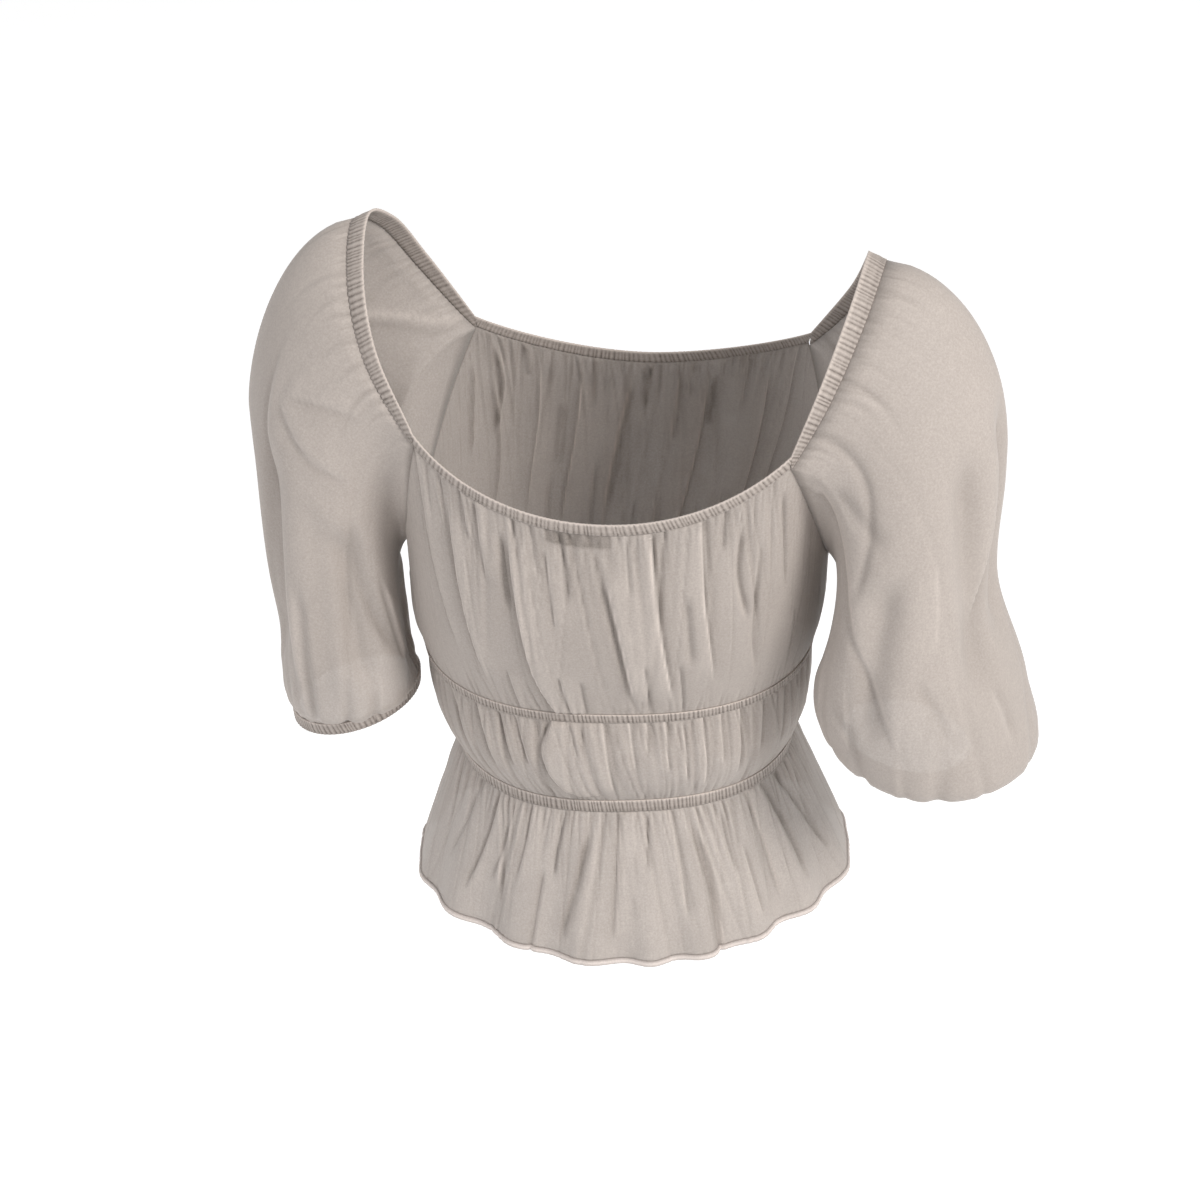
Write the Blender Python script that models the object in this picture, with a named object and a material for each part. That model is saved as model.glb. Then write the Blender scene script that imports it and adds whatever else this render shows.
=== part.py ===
"""Off-the-shoulder peplum blouse with puffed elbow sleeves, hollow, in the shape that it has when worn.

Metres, +Z up. The origin is midway between the tops of the two shoulder casings, where the shoulders
carry the blouse. The front faces -Y and the wearer's left is +X. Every piece of cloth is a thin closed
wall, worked out from the sizes below: sections of a general figure, the edges of the cut, and gathers.
"""

import math
from collections import namedtuple

import bpy
import numpy as np

# Cloth and sewing
CLOTH_THICKNESS = 0.0012
CASING_THICKNESS = 0.0022
HEM_ROLL_THICKNESS = 0.0020
LABEL_THICKNESS = 0.0010
SEAM_GAP = 0.0003
CORNER_GAP = 0.0006
CORNER_CLEARANCE = 0.0009

# Heights of the edges, below the tops of the shoulders
BACK_NECK_Z = -0.138
FRONT_NECK_Z = -0.150
BACK_CORNER_Z = -0.100
FRONT_CORNER_Z = -0.108
UNDERARM_Z = -0.215
RIB_LINE_Z = -0.297
WAIST_LINE_Z = -0.374
HEM_Z = -0.480

# How much higher the rib and waist elastics ride at the sides than at the centre
SIDE_RISE = 0.009

# Heights of the narrow pieces
NECK_CASING_HEIGHT = 0.008
SHOULDER_CASING_WIDTH = 0.012
RIB_CASING_HEIGHT = 0.007
WAIST_CASING_HEIGHT = 0.010
CUFF_CASING_HEIGHT = 0.009
HEM_ROLL_HEIGHT = 0.004

# Angles round the torso from the centre of the back, or of the front
BACK_CORNER_ANGLE = math.radians(46.0)
FRONT_CORNER_ANGLE = math.radians(44.0)
SIDE_ANGLE = math.radians(90.0)

# The shoulders turn one way and the waist the other, about the upright axis
SHOULDER_TURN = math.radians(-6.5)
WAIST_TURN = math.radians(6.5)

# How the neckline falls from its corners, where 1 is straight and 2 a parabola, and how square the
# torso's sections are, where 2 is an ellipse
NECKLINE_CURVE = 1.7
SECTION_POWER = 2.35

Level = namedtuple("Level", "z half_width back front shift")
TORSO = (
    Level(-0.482, 0.111, 0.081, 0.085, 0.003),
    Level(-0.374, 0.111, 0.081, 0.085, 0.005),
    Level(-0.297, 0.126, 0.088, 0.098, 0.008),
    Level(-0.215, 0.134, 0.100, 0.127, 0.005),
    Level(-0.150, 0.143, 0.106, 0.121, 0.003),
    Level(-0.100, 0.150, 0.109, 0.108, 0.001),
    Level(-0.050, 0.150, 0.104, 0.100, -0.001),
)

# How far the peplum stands out from the waist at its hem, how much less midway to the sides, how soon
Flare = namedtuple("Flare", "back side front less_between")
PEPLUM_FLARE = Flare(0.037, 0.038, 0.034, 0.011)
PEPLUM_CURVE = 0.82

# Gathers of each half panel: how many between the neckline's corners and at each end, how deep at the
# top, middle and bottom, how far the panel balloons at its centre and its sides, and how unevenly
# the gathers are spaced
Gathers = namedtuple("Gathers", "middle_folds end_folds top middle bottom balloon side_balloon uneven")
BODICE_GATHERS = Gathers(10, 3, 0.0008, 0.0032, 0.0012, 0.0100, 0.0030, 0.35)
MIDRIFF_GATHERS = Gathers(8, 3, 0.0010, 0.0028, 0.0012, 0.0085, 0.0045, 0.35)
PEPLUM_GATHERS = Gathers(7, 3, 0.0010, 0.0032, 0.0055, 0.0, 0.0, 0.40)
BALLOON_LOW = 1.3
CREST_CHANGE = 0.35
FOLD_COLUMNS = 4
BODICE_ROWS = (0.0, 0.14, 0.34, 0.58, 0.82, 1.0)
MIDRIFF_ROWS = (0.0, 0.30, 0.70, 1.0)
PEPLUM_ROWS = (0.0, 0.18, 0.55, 1.0)

# Columns of a half casing, and how far every other one stands out where the elastic ripples it
CASING_COLUMNS = 29
RIPPLE_DEPTH = 0.0003

# The top edge of a sleeve, over the shoulder from the back corner of the neckline to the front one
ShoulderPoint = namedtuple("ShoulderPoint", "side back z")
SHOULDER_EDGE = (
    ShoulderPoint(0.136, 0.066, -0.052),
    ShoulderPoint(0.149, 0.034, -0.017),
    ShoulderPoint(0.154, 0.000, 0.000),
    ShoulderPoint(0.150, -0.034, -0.018),
    ShoulderPoint(0.138, -0.066, -0.058),
)
SHOULDER_FOLDS = 7
SHOULDER_SLOPE = math.radians(24.0)

# The arm that fills a sleeve: where its axis is at the shoulder and at the cuff, and how much lower
# the cuff is on its outer side
Arm = namedtuple("Arm", "top_side top_back cuff_side cuff_back cuff_z cuff_tilt")
# Sleeve sections by their share of the fall from the top edge to the cuff, as reaches from the arm's
# axis in six directions, with how far the cloth sags below its level
Section = namedtuple("Section", "fall sag out back_out back_in inner front_in front_out")
# Large folds of a sleeve: direction in degrees from outwards towards the back, shares of the fall
# where each starts and ends, how far it stands out, half its width, and how far it leans
Fold = namedtuple("Fold", "direction start end height width lean")
# Each shoulder, with how far its top edge lies inward of and below the usual one
SleeveShape = namedtuple("SleeveShape", "sign inward drop arm sag_direction sections folds")

LEFT_SLEEVE = SleeveShape(
    1,
    0.0,
    0.0,
    Arm(0.176, 0.000, 0.187, 0.012, -0.336, 0.011),
    100.0,
    (
        Section(0.00, 0.000, 0.052, 0.056, 0.056, 0.032, 0.046, 0.052),
        Section(0.40, 0.000, 0.056, 0.060, 0.059, 0.031, 0.046, 0.053),
        Section(0.62, 0.002, 0.053, 0.061, 0.062, 0.032, 0.048, 0.053),
        Section(0.80, 0.006, 0.046, 0.060, 0.065, 0.036, 0.050, 0.050),
        Section(0.92, 0.008, 0.045, 0.056, 0.059, 0.042, 0.047, 0.047),
        Section(0.97, 0.000, 0.044, 0.050, 0.051, 0.042, 0.045, 0.045),
        Section(1.00, 0.000, 0.043, 0.043, 0.043, 0.043, 0.043, 0.043),
    ),
    (
        Fold(62, 0.16, 0.90, -0.008, 15, -10),
        Fold(112, 0.25, 0.80, -0.009, 14, 22),
        Fold(18, 0.30, 0.85, -0.006, 16, 6),
        Fold(300, 0.20, 0.80, -0.007, 16, 8),
        Fold(250, 0.35, 0.85, -0.007, 14, -10),
    ),
)
RIGHT_SLEEVE = SleeveShape(
    -1,
    0.006,
    0.005,
    Arm(0.177, 0.018, 0.183, 0.044, -0.330, 0.007),
    50.0,
    (
        Section(0.00, 0.000, 0.058, 0.060, 0.060, 0.032, 0.046, 0.052),
        Section(0.40, 0.000, 0.056, 0.065, 0.074, 0.036, 0.048, 0.054),
        Section(0.62, 0.002, 0.054, 0.070, 0.080, 0.052, 0.052, 0.056),
        Section(0.80, 0.012, 0.074, 0.080, 0.077, 0.052, 0.052, 0.060),
        Section(0.92, 0.021, 0.078, 0.076, 0.064, 0.045, 0.050, 0.058),
        Section(0.97, 0.004, 0.058, 0.058, 0.054, 0.043, 0.047, 0.052),
        Section(1.00, 0.000, 0.043, 0.043, 0.043, 0.043, 0.043, 0.043),
    ),
    (
        Fold(70, 0.14, 0.75, -0.008, 15, -14),
        Fold(118, 0.22, 0.80, -0.009, 14, 16),
        Fold(20, 0.20, 0.70, -0.007, 16, 8),
        Fold(300, 0.20, 0.80, -0.007, 16, 8),
        Fold(245, 0.35, 0.85, -0.007, 14, -10),
    ),
)
SLEEVE_ROWS = (0.0, 0.04, 0.12, 0.24, 0.40, 0.56, 0.70, 0.82, 0.91, 0.97, 1.0)
# The share of the fall over which a sleeve swells out to its full section, and the direction that the
# corners of the neckline take on the arm
SWELL_END = 0.36
CORNER_DIRECTION = math.radians(118.0)
SLEEVE_WAVES = (0.0008, 0.0020, 0.0010)

# The plain woven label inside the back of the neck
LABEL_WIDTH = 0.040
LABEL_HEIGHT = 0.016
LABEL_TOP_Z = BACK_NECK_Z - 0.004
LABEL_SIDE = 0.012
LABEL_INSET = 0.0026
LABEL_LEAN = 0.0015
LABEL_COLUMNS = 6

Finish = namedtuple("Finish", "colour roughness")
CHIFFON = Finish((0.80, 0.775, 0.745, 1.0), 0.62)
CASING_CLOTH = Finish((0.74, 0.715, 0.685, 1.0), 0.68)
LABEL_CLOTH = Finish((0.42, 0.41, 0.42, 1.0), 0.75)

UP = np.array([0.0, 0.0, 1.0])
MIDDLE = np.zeros(3)
Half = namedtuple("Half", "back from_centre points normals")


def clear_scene():
    """Removes every object, so that the scene holds the blouse alone."""
    for item in list(bpy.data.objects):
        bpy.data.objects.remove(item)


def cloth_material(name, finish):
    """A cloth material for one piece."""
    material = bpy.data.materials.new(f"{name}_cloth")
    material.use_nodes = True
    shader = material.node_tree.nodes["Principled BSDF"]
    shader.inputs["Base Color"].default_value = finish.colour
    shader.inputs["Roughness"].default_value = finish.roughness
    shader.inputs["Metallic"].default_value = 0.0
    return material


def smooth_between(places, values, at):
    """A smooth curve through values at rising places, read at one place or at an array of them."""
    places = np.asarray(places, float)
    values = np.asarray(values, float)
    at = np.clip(at, places[0], places[-1])
    slopes = np.gradient(values, places, axis=0)
    i = np.clip(np.searchsorted(places, at, side="right") - 1, 0, len(places) - 2)
    span = places[i + 1] - places[i]
    t = (at - places[i]) / span
    if values.ndim > 1:
        t = np.expand_dims(t, -1)
        span = np.expand_dims(span, -1)
    start = (2 * t**3 - 3 * t**2 + 1) * values[i] + (t**3 - 2 * t**2 + t) * span * slopes[i]
    end = (3 * t**2 - 2 * t**3) * values[i + 1] + (t**3 - t**2) * span * slopes[i + 1]
    return start + end


def unit(vectors):
    """The vectors at length 1."""
    return vectors / np.maximum(np.linalg.norm(vectors, axis=-1, keepdims=True), 1e-12)


def level(vectors):
    """The vectors laid level, at length 1."""
    return unit(vectors * (1.0 - UP))


def torso_size(z, column):
    """One size of the general figure at a height."""
    return smooth_between([row.z for row in TORSO], [getattr(row, column) for row in TORSO], z)


def squared(value):
    """The sine or cosine of an angle, squared off as a torso's section is."""
    return np.sign(value) * np.abs(value) ** (2.0 / SECTION_POWER)


def turned(points):
    """The points turned about the upright axis, as the shoulders and the waist are."""
    share = np.clip(points[..., 2] / WAIST_LINE_Z, 0.0, 1.0)
    angle = SHOULDER_TURN + (WAIST_TURN - SHOULDER_TURN) * share
    x = points[..., 0] * np.cos(angle) - points[..., 1] * np.sin(angle)
    y = points[..., 0] * np.sin(angle) + points[..., 1] * np.cos(angle)
    return np.stack([x, y, points[..., 2]], axis=-1)


def torso_points(from_centre, back, z, out=0.0):
    """Points at angles from the centre of the back or front, positive to the wearer's left."""
    from_centre, z, out = np.broadcast_arrays(from_centre, z, out)
    depth = torso_size(z, "back" if back else "front")
    x = (torso_size(z, "half_width") + out) * squared(np.sin(from_centre)) + torso_size(z, "shift")
    y = (depth + out) * squared(np.cos(from_centre)) * (1 if back else -1)
    return turned(np.stack([x, y, z], axis=-1))


def side_seam_angle(back):
    """The angle that leaves half a seam gap between a half panel and the side."""
    depth = torso_size(RIB_LINE_Z, "back" if back else "front")
    return SIDE_ANGLE - (SEAM_GAP / 2 / depth) ** (SECTION_POWER / 2)


def corner_angle(back):
    """The angle from the centre to a corner of the neckline."""
    return BACK_CORNER_ANGLE if back else FRONT_CORNER_ANGLE


def neckline_z(from_centre, back):
    """The height of the neckline at an angle from the centre."""
    centre_z = BACK_NECK_Z if back else FRONT_NECK_Z
    corner_z = BACK_CORNER_Z if back else FRONT_CORNER_Z
    share = np.clip(np.abs(from_centre) / corner_angle(back), 0.0, 1.0)
    return centre_z + (corner_z - centre_z) * share**NECKLINE_CURVE


def elastic_line(height):
    """The height of an elastic line at angles from the centre, which rises towards the sides."""
    return lambda from_centre, back: height + SIDE_RISE * np.sin(from_centre) ** 4


def bodice_top_z(from_centre, back):
    """The height of the bodice's upper edge, under the neck casing and along the armholes."""
    corner = corner_angle(back)
    under_casing = neckline_z(from_centre, back) - NECK_CASING_HEIGHT - SEAM_GAP
    corner_z = neckline_z(corner, back) - NECK_CASING_HEIGHT - SEAM_GAP
    share = np.clip((np.abs(from_centre) - corner) / (SIDE_ANGLE - corner), 0.0, 1.0)
    armhole = corner_z + (UNDERARM_Z - corner_z) * np.sin(share * math.pi / 2)
    return np.where(np.abs(from_centre) <= corner, under_casing, armhole)


def gather_wave(count, phase):
    """The height of a row of gathers at its columns, 1 for a usual crest and -1 for a valley."""
    column = np.arange(count)
    crest = 1.0 + CREST_CHANGE * np.sin(2.7 * (column // FOLD_COLUMNS) + phase)
    return -crest * np.cos(2 * math.pi * column / FOLD_COLUMNS)


def fold_angles(start, end, count, uneven, phase):
    """Angles from start to end with a few to each gather, some gathers wider than others."""
    order = np.arange(count)
    widths = 1.0 + uneven * np.sin(1.9 * order + phase) + 0.5 * uneven * np.sin(4.3 * order + 2.0 * phase)
    edges = start + (end - start) * np.concatenate([[0.0], np.cumsum(widths)]) / widths.sum()
    edges[-1] = end
    column = np.arange(count * FOLD_COLUMNS + 1) / FOLD_COLUMNS
    return np.interp(column, np.arange(count + 1), edges)


def panel_columns(gathers, back, phase):
    """The angles of a half panel's columns from one side seam to the other, and the wave on each."""
    corner = corner_angle(back)
    seam = side_seam_angle(back)
    zones = (
        fold_angles(-seam, -corner, gathers.end_folds, gathers.uneven, phase),
        fold_angles(-corner, corner, gathers.middle_folds, gathers.uneven, phase + 1.0)[1:],
        fold_angles(corner, seam, gathers.end_folds, gathers.uneven, phase + 2.0)[1:],
    )
    angles = np.concatenate(zones)
    fade = np.clip((SIDE_ANGLE - np.abs(angles)) / math.radians(9.0), 0.12, 1.0)
    return angles, gather_wave(len(angles), phase) * fade


def gathered_panel(gathers, rows, back, phase, top_z, bottom_z):
    """The mid surface of a gathered half panel, ballooning between its two edges."""
    from_centre, wave = panel_columns(gathers, back, phase)
    side = np.sin(from_centre) ** 2
    balloon = gathers.balloon * (1 - side) + gathers.side_balloon * side
    depths = (gathers.top, gathers.middle, gathers.bottom)
    start_z = top_z(from_centre, back)
    fall = bottom_z(from_centre, back) - start_z
    grid = []
    for row in rows:
        out = balloon * math.sin(math.pi * row**BALLOON_LOW) + smooth_between((0, 0.5, 1), depths, row) * wave
        grid.append(torso_points(from_centre, back, start_z + fall * row, out))
    return from_centre, np.array(grid)


def peplum_panel(back, phase):
    """The mid surface of the flared peplum, from the waist casing to the hem roll."""
    from_centre, wave = panel_columns(PEPLUM_GATHERS, back, phase)
    top_z = elastic_line(WAIST_LINE_Z - WAIST_CASING_HEIGHT / 2 - SEAM_GAP)(from_centre, back)
    bottom_z = HEM_Z + HEM_ROLL_HEIGHT + SEAM_GAP
    side = np.sin(from_centre) ** 2
    flare = (PEPLUM_FLARE.back if back else PEPLUM_FLARE.front) * (1 - side) + PEPLUM_FLARE.side * side
    flare -= PEPLUM_FLARE.less_between * np.sin(2 * from_centre) ** 2
    depths = (PEPLUM_GATHERS.top, PEPLUM_GATHERS.middle, PEPLUM_GATHERS.bottom)
    grid = []
    for row in PEPLUM_ROWS:
        out = flare * row**PEPLUM_CURVE + smooth_between((0, 0.5, 1), depths, row) * wave
        grid.append(torso_points(from_centre, back, top_z + (bottom_z - top_z) * row, out))
    return np.array(grid)


def outward_normals(points, centre, round_closed=False):
    """Unit normals of a grid of points, on the side away from an upright line through the centre."""
    down = np.gradient(points, axis=0)
    if round_closed:
        across = (np.roll(points, -1, axis=1) - np.roll(points, 1, axis=1)) / 2
    else:
        across = np.gradient(points, axis=1)
    normals = unit(np.cross(across, down))
    return normals if (normals * level(points - centre)).sum() > 0 else -normals


def panel_normals(points, level_rows, to_sides=True):
    """Outward normals of a torso panel, level where it meets a casing and sideways at a side seam."""
    normals = outward_normals(points, MIDDLE)
    for column in (0, -1) if to_sides else ():
        sideways = np.sign(points[:, column, :1]) * np.array([1.0, 0.0, 0.0])
        normals[:, column] = level(turned(sideways + points[:, column] * UP))
    for row in level_rows:
        normals[row] = level(normals[row])
    return normals


def wall(name, points, normals, thickness, finish, round_closed=False):
    """A closed wall of cloth round a grid of points, half its thickness to each side."""
    rows, columns = points.shape[:2]
    outer = (points + normals * thickness / 2).reshape(-1, 3)
    inner = (points - normals * thickness / 2).reshape(-1, 3)
    inside = rows * columns
    spans = columns if round_closed else columns - 1

    def at(row, column):
        return row * columns + column % columns

    edges = []
    faces = []
    for column in range(spans):
        for row in range(rows - 1):
            quad = (at(row, column), at(row + 1, column), at(row + 1, column + 1), at(row, column + 1))
            faces.append(quad)
            faces.append(tuple(inside + corner for corner in reversed(quad)))
        edges.append((at(0, column), at(0, column + 1)))
        edges.append((at(rows - 1, column + 1), at(rows - 1, column)))
    if not round_closed:
        for row in range(rows - 1):
            edges.append((at(row + 1, 0), at(row, 0)))
            edges.append((at(row, columns - 1), at(row + 1, columns - 1)))
    for a, b in edges:
        faces.append((a, b, inside + b, inside + a))
    solid(name, np.concatenate([outer, inner]), faces, finish)


def solid(name, vertices, faces, finish):
    """A named object of those faces, turned so that they point out."""
    mesh = bpy.data.meshes.new(name)
    mesh.from_pydata(vertices.tolist(), [], faces)
    mesh.calc_loop_triangles()
    triangles = np.array([triangle.vertices for triangle in mesh.loop_triangles])
    a, b, c = (vertices[triangles[:, corner]] for corner in range(3))
    if np.einsum("ij,ij->i", a, np.cross(b, c)).sum() < 0:
        mesh.flip_normals()
    mesh.shade_smooth()
    mesh.set_sharp_from_angle(angle=math.radians(50))
    mesh.materials.append(cloth_material(name, finish))
    bpy.context.scene.collection.objects.link(bpy.data.objects.new(name, mesh))


def ripples(count, depth):
    """Every other column out and the rest in."""
    return depth * (-1.0) ** np.arange(count)


def torso_casing(name, back, limit, top_z, height, ripple_depth=RIPPLE_DEPTH, to_sides=True):
    """An elastic casing on the figure, between two equal angles from the centre."""
    from_centre = np.linspace(-limit, limit, CASING_COLUMNS)
    ripple = ripples(CASING_COLUMNS, ripple_depth)
    top = top_z(from_centre, back)
    grid = np.array([torso_points(from_centre, back, z, ripple) for z in (top, top - height)])
    wall(name, grid, panel_normals(grid, (0, 1), to_sides), CASING_THICKNESS, CASING_CLOTH)


def hem_roll(name, panel, normals):
    """The narrow rolled hem that follows a peplum's lower edge."""
    top = panel[-1] - UP * SEAM_GAP
    grid = np.array([top, top + unit(panel[-1] - panel[-2]) * HEM_ROLL_HEIGHT])
    wall(name, grid, np.array([normals, normals]), HEM_ROLL_THICKNESS, CASING_CLOTH)


def casing_start(sign, back):
    """Where a shoulder casing starts on the neckline, just clear of the neck casing's end."""
    corner = corner_angle(back)
    corner_z = neckline_z(corner, back)
    radius = np.linalg.norm(torso_points(corner, back, corner_z)[:2])
    return torso_points(sign * (corner + CORNER_GAP / radius), back, corner_z)


def shoulder_casing_grid(shape):
    """The mid surface of a shoulder casing from back to front, and the sleeve's edge below it."""
    sign = shape.sign
    usual = [(sign * (point.side - shape.inward), point.back, point.z - shape.drop) for point in SHOULDER_EDGE]
    over = turned(np.array(usual))
    route = np.array([casing_start(sign, True), *over, casing_start(sign, False)])
    lengths = np.concatenate([[0.0], np.cumsum(np.linalg.norm(np.diff(route, axis=0), axis=1))])
    share = np.linspace(0.0, 1.0, SHOULDER_FOLDS * FOLD_COLUMNS + 1)
    edge = smooth_between(lengths, route, share * lengths[-1])
    rise = np.sin(math.pi * share)[:, None] ** 0.7
    width = NECK_CASING_HEIGHT + (SHOULDER_CASING_WIDTH - NECK_CASING_HEIGHT) * rise
    outward = np.array([sign * math.cos(SHOULDER_SLOPE), 0.0, -math.sin(SHOULDER_SLOPE)])
    across = unit(-UP * (1 - rise) + outward * rise)
    lower = edge + across * width
    return np.array([edge, lower - across * CORNER_CLEARANCE * (1 - rise)]), lower + across * SEAM_GAP


def reach_round(section, direction):
    """How far a sleeve's section reaches in each direction, smooth all the way round."""
    reaches = np.array(section[2:])
    turns = np.arange(len(reaches)) / len(reaches) * 2 * math.pi
    reach = np.full_like(direction, reaches.mean())
    for wave, scale in ((1, 2), (2, 2), (3, 1)):
        reach += scale * (reaches * np.cos(wave * turns)).mean() * np.cos(wave * direction)
        reach += scale * (reaches * np.sin(wave * turns)).mean() * np.sin(wave * direction)
    return reach


def fold_height(folds, direction, fall):
    """How far the large folds stand out from a sleeve in each direction, at one share of the fall."""
    height = np.zeros_like(direction)
    for fold in folds:
        along = (fall - fold.start) / (fold.end - fold.start)
        if 0.0 < along < 1.0:
            middle = math.radians(fold.direction + fold.lean * (along - 0.5))
            apart = (direction - middle + math.pi) % (2 * math.pi) - math.pi
            bell = np.exp(-((apart / math.radians(fold.width)) ** 2))
            height += fold.height * math.sin(math.pi * along) * bell
    return height


def sleeve_grid(shape, ring):
    """The mid surface of a sleeve, from its ring of top points to the cuff casing."""
    arm = shape.arm
    over_shoulder = SHOULDER_FOLDS * FOLD_COLUMNS + 1
    top = np.linspace(CORNER_DIRECTION, -CORNER_DIRECTION, over_shoulder)
    under = np.linspace(-CORNER_DIRECTION, CORNER_DIRECTION - 2 * math.pi, len(ring) - over_shoulder + 2)
    direction = np.concatenate([top, under[1:-1]])
    side = np.array([shape.sign, 0.0])
    behind = np.array([0.0, 1.0])
    outward = np.cos(direction)[:, None] * side + np.sin(direction)[:, None] * behind
    wave = gather_wave(len(ring), 0.0)
    sag_share = 0.5 + 0.5 * np.cos(direction - math.radians(shape.sag_direction))
    cuff_z = arm.cuff_z - arm.cuff_tilt * np.cos(direction)
    falls = [section.fall for section in shape.sections]
    reaches = [reach_round(section, direction) for section in shape.sections]
    sags = [section.sag for section in shape.sections]
    grid = []
    for fall in SLEEVE_ROWS:
        z = ring[:, 2] + (cuff_z - ring[:, 2]) * fall - smooth_between(falls, sags, fall) * sag_share
        down = np.clip(z / arm.cuff_z, 0.0, 1.0)[:, None]
        axis_side = arm.top_side + (arm.cuff_side - arm.top_side) * down
        axis_back = arm.top_back + (arm.cuff_back - arm.top_back) * down
        swell = math.sqrt(1 - (1 - min(fall / SWELL_END, 1.0)) ** 2)
        reach = smooth_between(falls, reaches, fall) + smooth_between((0, 0.5, 1), SLEEVE_WAVES, fall) * wave
        reach += fold_height(shape.folds, direction, fall)
        full = side * axis_side + behind * axis_back + outward * reach[:, None]
        grid.append(np.column_stack([ring[:, :2] * (1 - swell) + full * swell, z]))
    return np.array(grid)


def armhole_columns(half, sign):
    """The columns of a bodice half along one armhole, from the neckline's corner to the side seam."""
    columns = np.where(sign * half.from_centre >= corner_angle(half.back) - 1e-9)[0]
    return columns if sign > 0 else columns[::-1]


def past_edge(half, columns, normals):
    """Points one seam gap past a bodice's armhole edge, square to the edge and to the normals."""
    edge = half.points[0, columns]
    off = unit(np.cross(np.gradient(edge, axis=0), normals))
    upward = ((edge - half.points[1, columns]) * off).sum(axis=1, keepdims=True)
    return edge + off * np.sign(upward) * SEAM_GAP


def set_in_sleeve(side, shape, back_half, front_half):
    """Builds a sleeve with its two casings, and turns the bodice's armhole edges to face it."""
    casing, over_shoulder = shoulder_casing_grid(shape)
    casing_normals = outward_normals(casing, MIDDLE)
    back_columns = armhole_columns(back_half, shape.sign)
    front_columns = armhole_columns(front_half, shape.sign)
    casing_normals[:, 0] = back_half.normals[0, back_columns[0]]
    casing_normals[:, -1] = front_half.normals[0, front_columns[0]]
    armholes = ((front_half, front_columns), (back_half, back_columns))
    first_under = len(over_shoulder)
    arm_middle = np.array([shape.sign * shape.arm.top_side, shape.arm.top_back, 0.0])
    edge_normals = [half.normals[0, columns] for half, columns in armholes]
    for attempt in range(2):
        front, back = (past_edge(*armhole, normals) for armhole, normals in zip(armholes, edge_normals))
        underarm = (front[-1:] + back[-1:]) / 2
        ring = np.concatenate([over_shoulder, front[1:-1], underarm, back[-2:0:-1]])
        sleeve = sleeve_grid(shape, ring)
        normals = outward_normals(sleeve, arm_middle, True)
        under = normals[0, first_under:]
        count = len(front_columns) - 1
        shared_front = unit(under[:count] + front_half.normals[0, front_columns[1:]])
        shared_back = unit(under[count - 1 :][::-1] + back_half.normals[0, back_columns[1:]])
        edge_normals = [
            np.concatenate([edge_normals[0][:1], shared_front]),
            np.concatenate([edge_normals[1][:1], shared_back]),
        ]
    normals[0, :first_under] = casing_normals[1]
    normals[0, first_under:] = np.concatenate([shared_front, shared_back[-2::-1]])
    normals[-1] = level(normals[-1])
    front_half.normals[0, front_columns[1:]] = shared_front
    back_half.normals[0, back_columns[1:]] = shared_back
    ripple = ripples(len(over_shoulder), RIPPLE_DEPTH)[:, None]
    wall(
        f"{side}_shoulder_casing", casing + casing_normals * ripple, casing_normals, CASING_THICKNESS, CASING_CLOTH
    )
    wall(f"{side}_sleeve", sleeve, normals, CLOTH_THICKNESS, CHIFFON, round_closed=True)
    cuff_casing(f"{side}_cuff_casing", sleeve[-1], normals[-1])


def cuff_casing(name, edge, normals):
    """The elastic casing at the end of a sleeve, below its last row of points."""
    top = edge - UP * SEAM_GAP
    grid = np.array([top, top - UP * CUFF_CASING_HEIGHT])
    wall(name, grid, np.array([normals, normals]), CASING_THICKNESS, CASING_CLOTH, round_closed=True)


def neck_label():
    """The small blank label, sewn in behind the back neck casing."""
    x = LABEL_SIDE + np.linspace(-LABEL_WIDTH / 2, LABEL_WIDTH / 2, LABEL_COLUMNS)
    share = np.abs(x) / torso_size(LABEL_TOP_Z, "half_width")
    from_centre = np.sign(x) * np.arcsin(share ** (SECTION_POWER / 2))
    top = torso_points(from_centre, True, LABEL_TOP_Z, -LABEL_INSET)
    bottom = torso_points(from_centre, True, LABEL_TOP_Z - LABEL_HEIGHT, -LABEL_INSET - LABEL_LEAN)
    grid = np.array([top, bottom])
    wall("neck_label", grid, outward_normals(grid, MIDDLE), LABEL_THICKNESS, LABEL_CLOTH)


def torso_half(half, back, phase):
    """Builds the panels and casings of the back or front, but for the bodice, which it returns."""
    rib_top = RIB_LINE_Z + RIB_CASING_HEIGHT / 2
    waist_top = WAIST_LINE_Z + WAIST_CASING_HEIGHT / 2
    midriff_top = rib_top - RIB_CASING_HEIGHT - SEAM_GAP

    midriff_ends = (elastic_line(midriff_top), elastic_line(waist_top + SEAM_GAP))
    midriff = gathered_panel(MIDRIFF_GATHERS, MIDRIFF_ROWS, back, phase + 1.3, *midriff_ends)[1]
    wall(f"{half}_midriff", midriff, panel_normals(midriff, (0, -1)), CLOTH_THICKNESS, CHIFFON)
    peplum = peplum_panel(back, phase + 2.2)
    peplum_normals = panel_normals(peplum, (0, -1))
    wall(f"{half}_peplum", peplum, peplum_normals, CLOTH_THICKNESS, CHIFFON)
    hem_roll(f"{half}_hem_roll", peplum, peplum_normals[-1])
    seam = side_seam_angle(back)
    torso_casing(
        f"{half}_neck_casing", back, corner_angle(back), neckline_z, NECK_CASING_HEIGHT, to_sides=False
    )
    torso_casing(f"{half}_rib_casing", back, seam, elastic_line(rib_top), RIB_CASING_HEIGHT, 0.0)
    torso_casing(f"{half}_waist_casing", back, seam, elastic_line(waist_top), WAIST_CASING_HEIGHT)
    bodice_ends = (bodice_top_z, elastic_line(rib_top + SEAM_GAP))
    from_centre, bodice = gathered_panel(BODICE_GATHERS, BODICE_ROWS, back, phase, *bodice_ends)
    return Half(back, from_centre, bodice, panel_normals(bodice, (0, -1)))


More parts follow.
